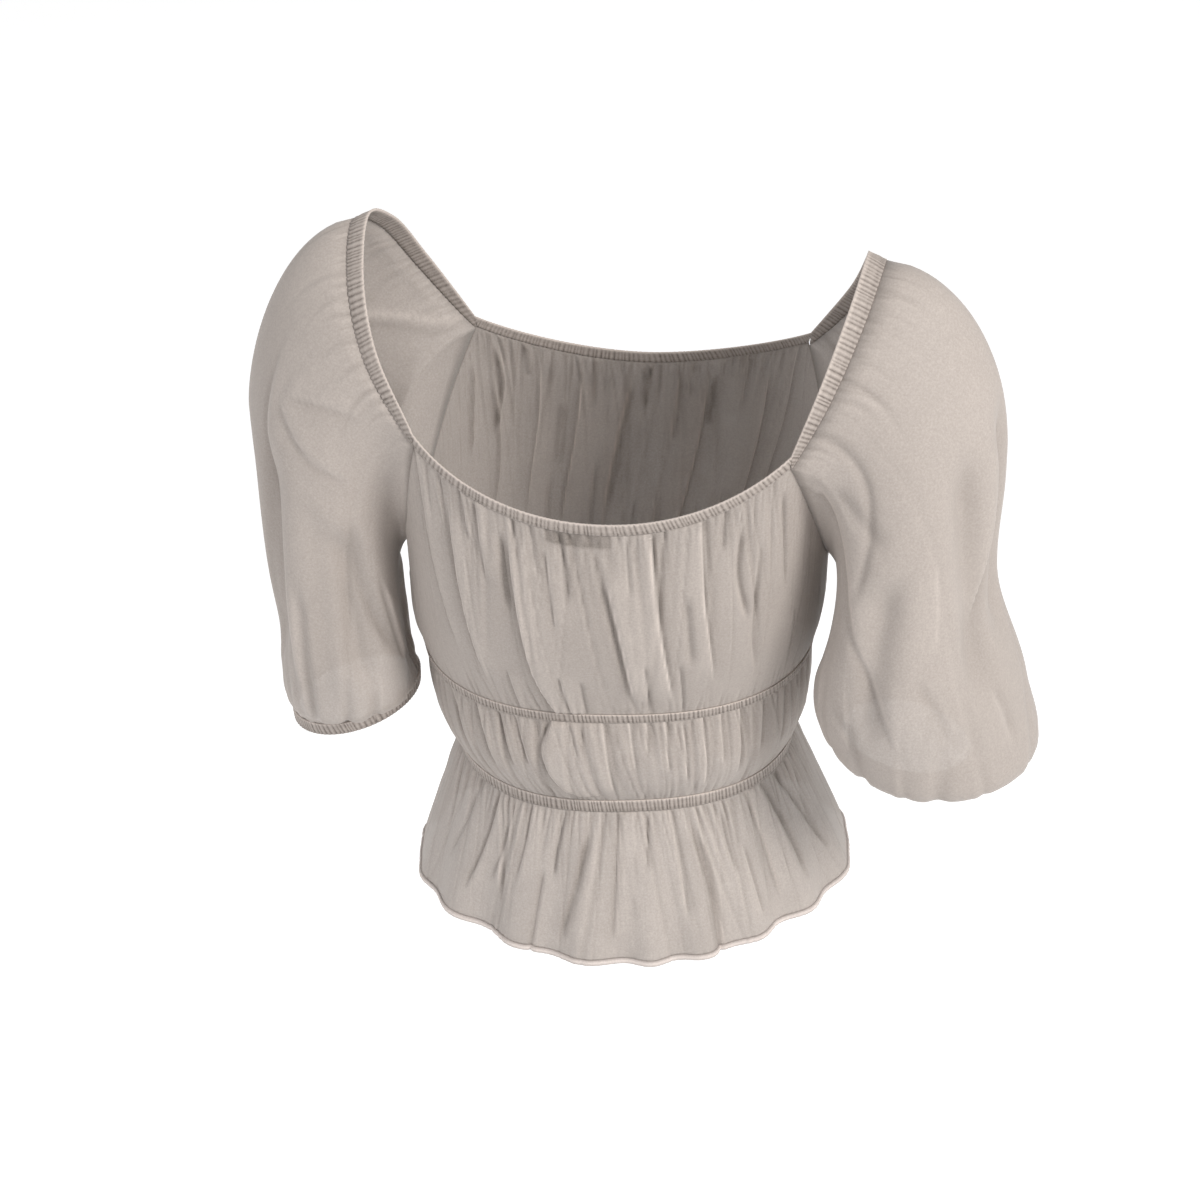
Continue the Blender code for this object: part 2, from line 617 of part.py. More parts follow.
def main():
    """Builds the blouse: the back and the front, then the sleeves that are set into their armholes."""
    clear_scene()
    back_half = torso_half("back", True, 0.6)
    front_half = torso_half("front", False, 2.1)
    for side, shape in (("left", LEFT_SLEEVE), ("right", RIGHT_SLEEVE)):
        set_in_sleeve(side, shape, back_half, front_half)
    for name, half in (("back_bodice", back_half), ("front_bodice", front_half)):
        wall(name, half.points, half.normals, CLOTH_THICKNESS, CHIFFON)
    neck_label()


main()
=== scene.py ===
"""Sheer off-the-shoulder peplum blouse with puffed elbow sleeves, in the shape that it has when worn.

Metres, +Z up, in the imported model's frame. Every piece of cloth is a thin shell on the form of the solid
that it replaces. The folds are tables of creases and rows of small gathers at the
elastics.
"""

import logging
import math
from collections.abc import Callable
from dataclasses import dataclass, replace
from enum import Enum

import bpy
import numpy as np
from mathutils import Matrix
from numpy.typing import ArrayLike

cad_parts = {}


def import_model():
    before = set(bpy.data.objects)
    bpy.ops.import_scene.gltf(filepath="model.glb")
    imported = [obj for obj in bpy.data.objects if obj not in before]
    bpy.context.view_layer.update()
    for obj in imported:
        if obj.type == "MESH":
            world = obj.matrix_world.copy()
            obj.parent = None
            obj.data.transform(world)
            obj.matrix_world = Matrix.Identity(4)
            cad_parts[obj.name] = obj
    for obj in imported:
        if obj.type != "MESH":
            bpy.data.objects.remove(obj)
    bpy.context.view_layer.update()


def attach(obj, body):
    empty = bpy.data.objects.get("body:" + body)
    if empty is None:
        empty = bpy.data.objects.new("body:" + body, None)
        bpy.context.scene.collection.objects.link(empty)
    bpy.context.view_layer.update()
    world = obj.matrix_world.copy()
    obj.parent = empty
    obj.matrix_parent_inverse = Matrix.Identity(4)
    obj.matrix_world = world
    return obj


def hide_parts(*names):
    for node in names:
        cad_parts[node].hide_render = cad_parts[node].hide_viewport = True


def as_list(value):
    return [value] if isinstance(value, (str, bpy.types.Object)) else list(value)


LOG = logging.getLogger("blouse")

# Thickness of each kind of shell
SHEER_THICKNESS = 0.0005
CASING_THICKNESS = 0.0012
HEM_THICKNESS = 0.0012
LABEL_THICKNESS = 0.0005

# Heights of the edges, below the tops of the shoulders
BACK_NECK_Z = -0.138
FRONT_NECK_Z = -0.150
BACK_CORNER_Z = -0.100
FRONT_CORNER_Z = -0.108
UNDERARM_Z = -0.215
RIB_LINE_Z = -0.297
SIDE_RISE = 0.009
WAIST_LINE_Z = -0.374
HEM_Z = -0.480

# Heights of the narrow pieces
NECK_CASING_HEIGHT = 0.008
SHOULDER_CASING_WIDTH = 0.012
RIB_CASING_HEIGHT = 0.007
WAIST_CASING_HEIGHT = 0.010
CUFF_CASING_HEIGHT = 0.009
HEM_ROLL_HEIGHT = 0.004

# Angles round the torso from the centre of the back, or of the front
BACK_CORNER_ANGLE = math.radians(46.0)
FRONT_CORNER_ANGLE = math.radians(44.0)
SIDE_ANGLE = math.radians(90.0)

# The shoulders turn one way and the waist the other, about the upright axis
SHOULDER_TURN = math.radians(-6.5)
WAIST_TURN = math.radians(6.5)

NECKLINE_CURVE = 1.7
SECTION_POWER = 2.35
BALLOON_LOW = 1.3

# The sleeve's top edge
SHOULDER_SLOPE = math.radians(24.0)
SWELL_END = 0.36
CORNER_DIRECTION = math.radians(118.0)

UP = np.array([0.0, 0.0, 1.0])
MM = 0.001

# How deep and how wide the creases are, against their tables
FOLD_DEPTH = 1.15
FOLD_WIDTH = 0.75

# Where a crease fades: this near to an end of it, unless it starts or ends this near to an edge
FADE_SHARE = 0.22
EDGE_SHARE = 0.03

# The painted shade in a crease's trough, the painted highlight on the rim beside it and the painted shadow
# on its far side, against its width or its reach
TROUGH_PLACE = 0.3
RIM_PLACE = 0.9
RIM_WIDTH = 0.5
SHADOW_REACH = 0.55

# How strongly each part of a crease shows: the painted shade in the trough, the painted shadow, and the
# painted highlight on the rim and on the swelling
TROUGH_TONE = 0.5
SHADOW_TONE = 0.30
RIM_TONE = 1.1
SWELL_TONE = 0.40

# How uneven a row of gathers is
PITCH_SPREAD = (0.55, 1.5)
LENGTH_SPREAD = (0.35, 1.6)
WIDTH_SPREAD = (0.7, 1.35)
STRENGTH_SPREAD = (0.35, 1.25)
LEAN_SPREAD = (-0.16, 0.16)

# The ripples of the elastics: their usual widths, heights and lean
NECK_RIPPLE = 0.0028
RIB_RIPPLE = 0.0025
WAIST_RIPPLE = 0.0026
SLEEVE_RIPPLE = 0.0030
RIPPLE_DEPTH = 0.0007
SHOULDER_RIPPLE_DEPTH = 0.0008
RIPPLE_LEAN = 0.08

# Columns along the shoulder and cuff casings, and for each ripple of the others
SHOULDER_COLUMNS = 560
CUFF_COLUMNS = 600
RIPPLE_COLUMNS = 6

# A sleeve's radius, which turns its angles into distances, and half of the way round the torso
SLEEVE_RADIUS = 0.052
HALF_ROUND = 0.34

# The dark line of a seam, and how much darker the rib and waist elastics are
SEAM_WIDTH = 0.0016
LINE_SHADE = 0.12

# The label: how far to the wearer's left and behind the cloth it is, and how it shows through
LABEL_WIDTH = 0.040
LABEL_HEIGHT = 0.016
LABEL_DROP = 0.004
LABEL_SIDE = 0.012
LABEL_INSET = 0.0026
LABEL_LEAN = 0.0015
LABEL_SHOWN = 0.0105
LABEL_BLUR = 0.0015

# Noise for each metre: clouds, grain, crumples, and the slubs across and along their threads
CLOUD_SCALE = 14.0
GRAIN_SCALE = 750.0
CRUMPLE_SCALE = 75.0
SLUB_SCALES = (1100.0, 70.0)

# The painted-highlight end of a cloth's colour ramp against its own colour, and where on the ramp its own
# colour is
BRIGHTER = 1.32
RAMP_MIDDLE = 0.28


class Side(Enum):
    """Which half of the torso a panel covers."""

    BACK = "back"
    FRONT = "front"


# The height of an edge for angles and a side, and how far a panel stands out for a share and angles
Line = Callable[[np.ndarray, Side], np.ndarray]
Stand = Callable[[float, np.ndarray], np.ndarray]


class Slot(Enum):
    """The material slots of the pieces."""

    CHIFFON = "chiffon"
    CASING = "casing"
    LABEL = "label"


@dataclass(frozen=True)
class Level:
    """One section of the general figure: its height, half width, depths and sideways shift."""

    z: float
    half_width: float
    back: float
    front: float
    shift: float


@dataclass(frozen=True)
class Arm:
    """The arm in a sleeve: its axis at the shoulder and the cuff, and the cuff's outward tilt."""

    top_side: float
    top_back: float
    cuff_side: float
    cuff_back: float
    cuff_z: float
    cuff_tilt: float


@dataclass(frozen=True)
class Section:
    """A sleeve's section: its share of the fall, its sag, and its reaches in six directions."""

    fall: float
    sag: float
    reaches: tuple[float, ...]


@dataclass(frozen=True)
class Crease:
    """One fold of the cloth, laid along a path of (degrees, share of the fall) points.

    width, depth, rise and reach are in millimetres: half the trough's width, how deep it is, how far
    the cloth stands out on the side of rising degrees (or the other side where it is negative), and
    how far that swelling reaches. dark and light are how strongly the painted shade in the trough and
    the painted highlight on its lip and swelling show.
    """

    path: tuple[tuple[float, float], ...]
    width: float = 2.0
    depth: float = 1.5
    rise: float = 0.0
    reach: float = 12.0
    dark: float = 0.5
    light: float = 0.0


@dataclass(frozen=True)
class Gathers:
    """A row of small gathers along one edge: pitch, depth, width and length in millimetres; dark is how
    strongly their painted shade and painted highlight show.
    """

    pitch: float
    depth: float
    width: float
    length: float
    dark: float
    seed: int


@dataclass(frozen=True)
class ClothFinish:
    """Looks of a cloth: its own colour (light) and the colour of painted shade and darker tone (shade), how
    solid it is, and its surface.
    """

    light: tuple[float, float, float]
    shade: tuple[float, float, float]
    alpha: float
    fold_alpha: float
    roughness: float
    sheen: float
    weave_pitch: float
    bump: float


TORSO = (
    Level(-0.482, 0.111, 0.081, 0.085, 0.003),
    Level(-0.374, 0.111, 0.081, 0.085, 0.005),
    Level(-0.297, 0.126, 0.088, 0.098, 0.008),
    Level(-0.215, 0.134, 0.100, 0.127, 0.005),
    Level(-0.150, 0.143, 0.106, 0.121, 0.003),
    Level(-0.100, 0.150, 0.109, 0.108, 0.001),
    Level(-0.050, 0.150, 0.104, 0.100, -0.001),
)

# The top edge of a sleeve over the shoulder: sideways, towards the back, and height
SHOULDER_EDGE = (
    (0.136, 0.066, -0.052),
    (0.149, 0.034, -0.017),
    (0.154, 0.000, 0.000),
    (0.150, -0.034, -0.018),
    (0.138, -0.066, -0.058),
)


@dataclass(frozen=True)
class SleeveShape:
    """One sleeve: its side, how its shoulder differs, its arm and its sections."""

    side: str
    sign: int
    inward: float
    drop: float
    arm: Arm
    sag_direction: float
    sections: tuple[Section, ...]
    creases: tuple[Crease, ...]


LEFT_CREASES = (
    Crease(((38, 0.05), (45, 0.2), (57, 0.5), (68, 0.85)), 3.6, 1.4, 1.6, 18, 0.35, 0.25),
    Crease(((50, 0.17), (80, 0.22), (105, 0.2)), 4.0, 1.4, 1.2, 16, 0.25, 0.2),
    Crease(((98, 0.04), (76, 0.1), (56, 0.16)), 3.0, 1.2, -1.0, 14, 0.22, 0.2),
    Crease(((108, 0.3), (112, 0.5), (128, 0.7)), 6.0, 3.5, 0, 12, 0.35, 0),
    Crease(((122, 0.45), (140, 0.75)), 2.5, 1.2, 1.5, 12, 0.2, 0.3),
    Crease(((86, 0.3), (88, 0.9)), 10.0, 3.0, 0, 12, 0.14, 0),
    Crease(((72, 0.55), (76, 0.95)), 5.0, 2.0, -1.0, 14, 0.2, 0.15),
    Crease(((15, 0.3), (20, 0.85)), 12.0, 6.0, dark=0.2),
    Crease(((295, 0.2), (305, 0.8)), 12.0, 7.0, dark=0.2),
    Crease(((255, 0.35), (245, 0.85)), 11.0, 7.0, dark=0.2),
)
RIGHT_CREASES = (
    Crease(((100, 0.0), (101, 0.1), (109, 0.25), (117, 0.4)), 3.0, 1.5, 0, 12, 0.28, 0),
    Crease(((118, 0.05), (112, 0.15), (100, 0.28)), 5.0, 1.5, 0, 14, 0.2, 0),
    Crease(((124, 0.03), (125, 0.2), (118, 0.45), (108, 0.62), (90, 0.85)), 3.0, 1.6, -1.5, 16, 0.28, 0.25),
    Crease(((76, 0.35), (76, 0.6)), 1.2, 0.2, 0, 10, 0, 0.25),
    Crease(((12, 0.25), (32, 0.42), (52, 0.62)), 2.0, 1.4, 2.2, 16, 0.35, 0.3),
    Crease(((128, 0.68), (112, 0.85)), 3.0, 1.4, 0, 12, 0.2, 0.1),
    Crease(((86, 0.62), (70, 0.78)), 4.0, 1.5, -1.0, 16, 0.2, 0.1),
    Crease(((44, 0.72), (34, 0.84)), 3.0, 1.3, 0, 12, 0.2, 0.15),
    Crease(((15, 0.2), (25, 0.7)), 12.0, 6.0, dark=0.2),
    Crease(((295, 0.2), (305, 0.8)), 12.0, 7.0, dark=0.2),
    Crease(((250, 0.35), (240, 0.85)), 11.0, 7.0, dark=0.2),
)

LEFT_SLEEVE = SleeveShape(
    "left",
    1,
    0.0,
    0.0,
    Arm(0.176, 0.000, 0.187, 0.012, -0.336, 0.011),
    100.0,
    (
        Section(0.00, 0.000, (0.052, 0.056, 0.056, 0.032, 0.046, 0.052)),
        Section(0.40, 0.000, (0.056, 0.060, 0.059, 0.031, 0.046, 0.053)),
        Section(0.62, 0.002, (0.053, 0.061, 0.062, 0.032, 0.048, 0.053)),
        Section(0.80, 0.006, (0.046, 0.060, 0.065, 0.036, 0.050, 0.050)),
        Section(0.92, 0.008, (0.045, 0.056, 0.059, 0.042, 0.047, 0.047)),
        Section(0.97, 0.000, (0.044, 0.050, 0.051, 0.042, 0.045, 0.045)),
        Section(1.00, 0.000, (0.043, 0.043, 0.043, 0.043, 0.043, 0.043)),
    ),
    LEFT_CREASES,
)
RIGHT_SLEEVE = SleeveShape(
    "right",
    -1,
    0.006,
    0.005,
    Arm(0.177, 0.018, 0.183, 0.044, -0.330, 0.007),
    50.0,
    (
        Section(0.00, 0.000, (0.058, 0.060, 0.060, 0.032, 0.046, 0.052)),
        Section(0.40, 0.000, (0.056, 0.065, 0.074, 0.036, 0.048, 0.054)),
        Section(0.62, 0.002, (0.054, 0.070, 0.080, 0.052, 0.052, 0.056)),
        Section(0.80, 0.012, (0.074, 0.080, 0.077, 0.052, 0.052, 0.060)),
        Section(0.92, 0.021, (0.078, 0.076, 0.064, 0.045, 0.050, 0.058)),
        Section(0.97, 0.004, (0.058, 0.058, 0.054, 0.043, 0.047, 0.052)),
        Section(1.00, 0.000, (0.043, 0.043, 0.043, 0.043, 0.043, 0.043)),
    ),
    RIGHT_CREASES,
)

BACK_BODICE_CREASES = (
    Crease(((36, 0.05), (35, 0.5), (32, 0.9)), 1.6, 1.2, -2.2, 12, 0.55, 0.7),
    Crease(((46, 0.0), (45, 0.4), (41, 0.8)), 1.6, 1.2, -1.5, 12, 0.45, 0.5),
    Crease(((68, 0.0), (74, 0.5), (72, 0.9)), 1.5, 1.0, -1.5, 12, 0.4, 0.5),
    Crease(((21, 0.08), (20, 0.45)), 3.2, 2.6, 0, 12, 0.55, 0),
    Crease(((19, 0.05), (18, 0.45), (16, 0.8), (13, 1.0)), 1.4, 1.2, -2.6, 16, 0.5, 0.8),
    Crease(((27, 0.03), (26, 0.35)), 1.4, 1.1, -1.0, 10, 0.4, 0.35),
    Crease(((31, 0.0), (30, 0.2)), 1.3, 1.0, -0.8, 10, 0.35, 0.3),
    Crease(((13, 0.0), (12, 0.25)), 1.3, 1.1, 0, 10, 0.35, 0.2),
    Crease(((10, 0.05), (9, 0.5)), 1.5, 1.3, -1.2, 10, 0.35, 0.5),
    Crease(((7, 0.0), (6, 0.15), (6, 0.35)), 1.5, 2.0, 0, 10, 0.8, 0),
    Crease(((0, 0.1), (-2, 0.5), (-4, 0.95)), 2.6, 2.2, -2.4, 14, 0.6, 0.7),
    Crease(((-10, 0.03), (-11, 0.5), (-14, 0.95)), 1.5, 1.4, 2.0, 14, 0.45, 0.65),
    Crease(((-5, 0.0), (-5, 0.3)), 1.6, 1.1, 0, 10, 0.3, 0.25),
    Crease(((-17, 0.3), (-18, 0.7)), 3.5, 2.0, 0, 12, 0.35, 0),
    Crease(((-15, 0.65), (-17, 1.0)), 1.6, 1.4, 0, 10, 0.4, 0.2),
    Crease(((-22, 0.03), (-22, 0.4), (-25, 0.85)), 1.5, 1.3, 2.0, 14, 0.45, 0.6),
    Crease(((-28, 0.0), (-27, 0.18)), 1.8, 1.6, 0, 10, 0.55, 0),
    Crease(((-33, 0.08), (-31, 0.3), (-34, 0.55)), 2.4, 2.3, 0.8, 12, 0.6, 0.25),
    Crease(((-38, 0.2), (-36, 0.6), (-39, 0.85)), 2.0, 1.8, 0.8, 12, 0.45, 0.3),
    Crease(((-44, 0.05), (-47, 0.5)), 2.2, 2.0, 0.6, 12, 0.5, 0.2),
    Crease(((-53, 0.55), (-54, 0.9)), 1.6, 1.4, 0.6, 10, 0.4, 0.3),
    Crease(((-7, 0.62), (-8, 1.0)), 1.6, 1.6, 0, 10, 0.45, 0.2),
    Crease(((10, 0.72), (9, 1.0)), 1.5, 1.4, -0.8, 10, 0.4, 0.3),
    Crease(((5, 0.75), (5, 1.0)), 1.4, 1.3, 0, 10, 0.4, 0),
    Crease(((24, 0.75), (24, 1.0)), 1.5, 1.2, -0.8, 10, 0.35, 0.3),
)
BACK_MIDRIFF_CREASES = (
    Crease(((15, 0.0), (19, 0.3), (18, 0.6), (13, 0.85), (4, 0.9)), 1.6, 1.4, -3.0, 20, 0.5, 0.6),
    Crease(((2, 0.03), (2, 0.5), (2, 0.88)), 1.4, 1.2, 1.8, 12, 0.5, 0.7),
    Crease(((10, 0.03), (9, 0.4)), 1.2, 1.2, 0, 10, 0.35, 0.2),
    Crease(((27, 0.0), (24, 0.55)), 1.5, 1.3, -1.0, 10, 0.4, 0.5),
    Crease(((33, 0.0), (30, 0.6)), 1.5, 1.3, -1.0, 10, 0.4, 0.4),
    Crease(((42, 0.0), (38, 0.7)), 1.5, 1.2, -1.2, 10, 0.4, 0.5),
    Crease(((55, 0.0), (50, 0.6)), 1.6, 1.3, -1.0, 10, 0.4, 0.4),
    Crease(((-3, 0.0), (-3, 0.55)), 1.3, 1.1, 1.0, 10, 0.35, 0.5),
    Crease(((-7, 0.0), (-6, 0.4)), 1.3, 1.1, 0.8, 10, 0.35, 0.4),
    Crease(((-12, 0.0), (-11, 0.6)), 1.4, 1.2, 1.0, 10, 0.4, 0.5),
    Crease(((-17, 0.0), (-16, 0.75)), 1.4, 1.2, 1.2, 10, 0.4, 0.5),
    Crease(((-23, 0.0), (-22, 0.85)), 1.4, 1.2, 1.4, 10, 0.45, 0.6),
    Crease(((-29, 0.0), (-28, 0.6)), 1.5, 1.3, 1.0, 10, 0.4, 0.4),
    Crease(((-36, 0.0), (-34, 0.8)), 1.6, 1.4, 1.2, 10, 0.45, 0.5),
    Crease(((-46, 0.0), (-43, 0.6)), 1.8, 1.5, 1.0, 10, 0.45, 0.4),
    Crease(((-58, 0.0), (-54, 0.7)), 1.8, 1.5, 0.6, 10, 0.4, 0.2),
)
BACK_PEPLUM_CREASES = (
    Crease(((58, 0.0), (62, 0.35), (68, 0.7)), 2.0, 1.6, 0, 12, 0.3, 0.1),
    Crease(((46, 0.0), (50, 0.4), (56, 0.85)), 2.0, 1.9, -1.2, 14, 0.5, 0.3),
    Crease(((38, 0.0), (41, 0.35), (45, 0.7)), 1.8, 1.4, -0.8, 12, 0.35, 0.25),
    Crease(((31, 0.0), (32, 0.3), (34, 0.6)), 1.8, 1.4, -0.6, 12, 0.3, 0.3),
    Crease(((24, 0.4), (26, 1.0)), 2.4, 1.8, -1.0, 14, 0.35, 0.3),
    Crease(((18, 0.0), (20, 0.25), (21, 0.5)), 1.8, 2.0, 0, 10, 0.6, 0.1),
    Crease(((10, 0.1), (13, 0.5), (17, 0.95)), 3.4, 3.0, -1.0, 14, 0.6, 0.2),
    Crease(((2, 0.0), (3, 0.5), (4, 0.95)), 2.2, 2.0, -1.5, 14, 0.45, 0.4),
    Crease(((-4, 0.03), (-3, 0.4)), 1.5, 1.4, 0, 10, 0.4, 0.1),
    Crease(((-11, 0.0), (-12, 0.4), (-12, 0.8)), 2.0, 1.4, 0.8, 12, 0.35, 0.3),
    Crease(((-18, 0.08), (-20, 0.5), (-20, 1.0)), 3.4, 3.0, -1.2, 14, 0.6, 0.3),
    Crease(((-28, 0.04), (-29, 0.55)), 1.7, 1.6, 0, 10, 0.45, 0.1),
    Crease(((-34, 0.3), (-36, 0.95)), 2.2, 1.8, 1.0, 14, 0.35, 0.3),
    Crease(((-40, 0.0), (-43, 0.4), (-45, 0.9)), 1.8, 1.4, -0.8, 12, 0.35, 0.4),
    Crease(((-49, 0.0), (-55, 0.4), (-58, 0.85)), 2.6, 2.4, 0, 12, 0.6, 0.1),
    Crease(((-58, 0.03), (-67, 0.4), (-74, 0.8)), 2.0, 1.8, 0, 12, 0.5, 0.1),
)

SHEER = ClothFinish((0.462, 0.410, 0.376), (0.18, 0.154, 0.135), 0.80, 0.16, 0.62, 0.20, 0.00045, 0.15)
CASING = ClothFinish((0.44, 0.385, 0.35), (0.15, 0.125, 0.11), 0.85, 0.15, 0.70, 0.20, 0.00045, 0.15)
HEM = ClothFinish((0.54, 0.48, 0.45), (0.28, 0.24, 0.22), 0.85, 0.10, 0.65, 0.20, 0.00045, 0.15)
TAPE = ClothFinish((0.075, 0.072, 0.078), (0.04, 0.04, 0.042), 1.0, 0.0, 0.75, 0.15, 0.0006, 0.25)


def similar(creases: tuple[Crease, ...], shift: float, mirrored: bool = True) -> tuple[Crease, ...]:
    """Folds of a hidden side, like the seen ones but at other places and of other sizes.

    Args:
        creases: The seen side's folds.
        shift: How far they move round, in degrees.
        mirrored: Whether they change sides.

    Returns:
        The folds of the hidden side.
    """
    found = []
    for i, crease in enumerate(creases):
        sign = -1 if mirrored else 1
        drift = shift + 2.5 * math.sin(2.3 * i)
        lower = 0.04 * math.sin(1.7 * i + 1.0)
        path = tuple(
            (sign * degrees + drift, share if share in (0.0, 1.0) else min(max(share + lower, 0.01), 0.96))
            for degrees, share in crease.path
        )
        size = 1.0 + 0.25 * math.sin(3.1 * i)
        found.append(
            replace(crease, path=path, depth=crease.depth * size, rise=sign * crease.rise * size)
        )
    return tuple(found)


def smooth_between(places: ArrayLike, values: ArrayLike, at: ArrayLike) -> np.ndarray:
    """A smooth curve through values at rising places.

    Args:
        places: Rising positions.
        values: One value or row of values for each position.
        at: One position or an array of them.

    Returns:
        The curve at each position, held at its ends.
    """
    places = np.asarray(places, float)
    values = np.asarray(values, float)
    at = np.clip(at, places[0], places[-1])
    slopes = np.gradient(values, places, axis=0)
    i = np.clip(np.searchsorted(places, at, side="right") - 1, 0, len(places) - 2)
    span = places[i + 1] - places[i]
    t = (at - places[i]) / span
    if values.ndim > 1:
        t = np.expand_dims(t, -1)
        span = np.expand_dims(span, -1)
    start = (2 * t**3 - 3 * t**2 + 1) * values[i] + (t**3 - 2 * t**2 + t) * span * slopes[i]
    end = (3 * t**2 - 2 * t**3) * values[i + 1] + (t**3 - t**2) * span * slopes[i + 1]
    return start + end


def eased(value: ArrayLike) -> np.ndarray:
    """A smooth step from 0 to 1 as the value goes from 0 to 1."""
    value = np.clip(value, 0.0, 1.0)
    return value * value * (3 - 2 * value)


def unit(vectors: np.ndarray) -> np.ndarray:
    """The vectors at length 1."""
    return vectors / np.maximum(np.linalg.norm(vectors, axis=-1, keepdims=True), 1e-12)


def steps(count: int, crowded: float = 0.4) -> np.ndarray:
    """Shares from 0 to 1, closer together at both ends."""
    even = np.linspace(0.0, 1.0, count)
    return (1 - crowded) * even + crowded * (0.5 - 0.5 * np.cos(math.pi * even))


def outward_normals(points: np.ndarray, centre: np.ndarray, closed: bool = False) -> np.ndarray:
    """Unit normals of a grid, away from the upright line through a centre.

    Args:
        points: Rows of points.
        centre: A point on the line.
        closed: Whether the last column is next to the first.

    Returns:
        One normal for each point.
    """
    down = np.gradient(points, axis=0)
    if closed:
        across = (np.roll(points, -1, axis=1) - np.roll(points, 1, axis=1)) / 2
    else:
        across = np.gradient(points, axis=1)
    normals = unit(np.cross(across, down))
    away = unit((points - centre) * (1.0 - UP))
    return normals if (normals * away).sum() > 0 else -normals


class Torso:
    """The general figure's torso, whose sections carry the panels."""

    @staticmethod
    def size(z: ArrayLike, column: str) -> np.ndarray:
        """One size of the figure at a height."""
        return smooth_between([row.z for row in TORSO], [getattr(row, column) for row in TORSO], z)

    @staticmethod
    def squared(value: ArrayLike) -> np.ndarray:
        """A sine or cosine, squared off as a torso's section is."""
        return np.sign(value) * np.abs(value) ** (2.0 / SECTION_POWER)

    @staticmethod
    def turned(points: np.ndarray) -> np.ndarray:
        """The points turned about the upright axis, as the shoulders and the waist are."""
        share = np.clip(points[..., 2] / WAIST_LINE_Z, 0.0, 1.0)
        angle = SHOULDER_TURN + (WAIST_TURN - SHOULDER_TURN) * share
        x = points[..., 0] * np.cos(angle) - points[..., 1] * np.sin(angle)
        y = points[..., 0] * np.sin(angle) + points[..., 1] * np.cos(angle)
        return np.stack([x, y, points[..., 2]], axis=-1)

    def points(self, angle: ArrayLike, side: Side, z: ArrayLike, out: ArrayLike = 0.0) -> np.ndarray:
        """Points at angles from the centre of a half, positive to the wearer's left.

        Args:
            angle: Angles in radians.
            side: The back or the front.
            z: Heights.
            out: How far the points stand out from the figure.

        Returns:
            The points, with the figure's turn.
        """
        angle, z, out = np.broadcast_arrays(angle, z, out)
        depth = self.size(z, side.value)
        facing = 1 if side is Side.BACK else -1
        x = (self.size(z, "half_width") + out) * self.squared(np.sin(angle)) + self.size(z, "shift")
        y = (depth + out) * self.squared(np.cos(angle)) * facing
        return self.turned(np.stack([x, y, z], axis=-1))

    @staticmethod
    def corner(side: Side) -> float:
        """The angle from the centre to a corner of the neckline."""
        return BACK_CORNER_ANGLE if side is Side.BACK else FRONT_CORNER_ANGLE

    def neckline_z(self, angle: ArrayLike, side: Side) -> np.ndarray:
        """The height of the neckline at an angle from the centre."""
        centre_z = BACK_NECK_Z if side is Side.BACK else FRONT_NECK_Z
        corner_z = BACK_CORNER_Z if side is Side.BACK else FRONT_CORNER_Z
        share = np.clip(np.abs(angle) / self.corner(side), 0.0, 1.0)
        return centre_z + (corner_z - centre_z) * share**NECKLINE_CURVE

    def bodice_top_z(self, angle: ArrayLike, side: Side) -> np.ndarray:
        """The height of the bodice's upper edge, under the casing and along the armholes."""
        corner = self.corner(side)
        under_casing = self.neckline_z(angle, side) - NECK_CASING_HEIGHT
        corner_z = self.neckline_z(corner, side) - NECK_CASING_HEIGHT
        share = np.clip((np.abs(angle) - corner) / (SIDE_ANGLE - corner), 0.0, 1.0)
        armhole = corner_z + (UNDERARM_Z - corner_z) * np.sin(share * math.pi / 2)
        return np.where(np.abs(angle) <= corner, under_casing, armhole)


TORSO_FORM = Torso()


def risen(height: float, rise: float = SIDE_RISE) -> Line:
    """The line of an elastic or a hem, which may be higher at the sides.

    Args:
        height: Its height at the centre.
        rise: How much higher it is at the sides.

    Returns:
        Its height, for angles and a side.
    """

    def line(angle: np.ndarray, side: Side) -> np.ndarray:
        return height + rise * np.sin(angle) ** 4

    return line


def balloon(at_centre: float, at_side: float) -> Stand:
    """How far a panel stands out between its two elastics.

    Args:
        at_centre: The most that it stands out at its centre.
        at_side: The same at the side seams.

    Returns:
        How far, for a share of its height and angles.
    """

    def stand(share: float, angle: np.ndarray) -> np.ndarray:
        around = np.sin(angle) ** 2
        return (at_centre * (1 - around) + at_side * around) * math.sin(math.pi * share**BALLOON_LOW)

    return stand


def path_fades(path: np.ndarray) -> tuple[bool, bool]:
    """Whether a crease fades at its start and at its end, which it doesn't at the cloth's edges."""
    return path[0, 1] > EDGE_SHARE, path[-1, 1] < 1.0 - EDGE_SHARE


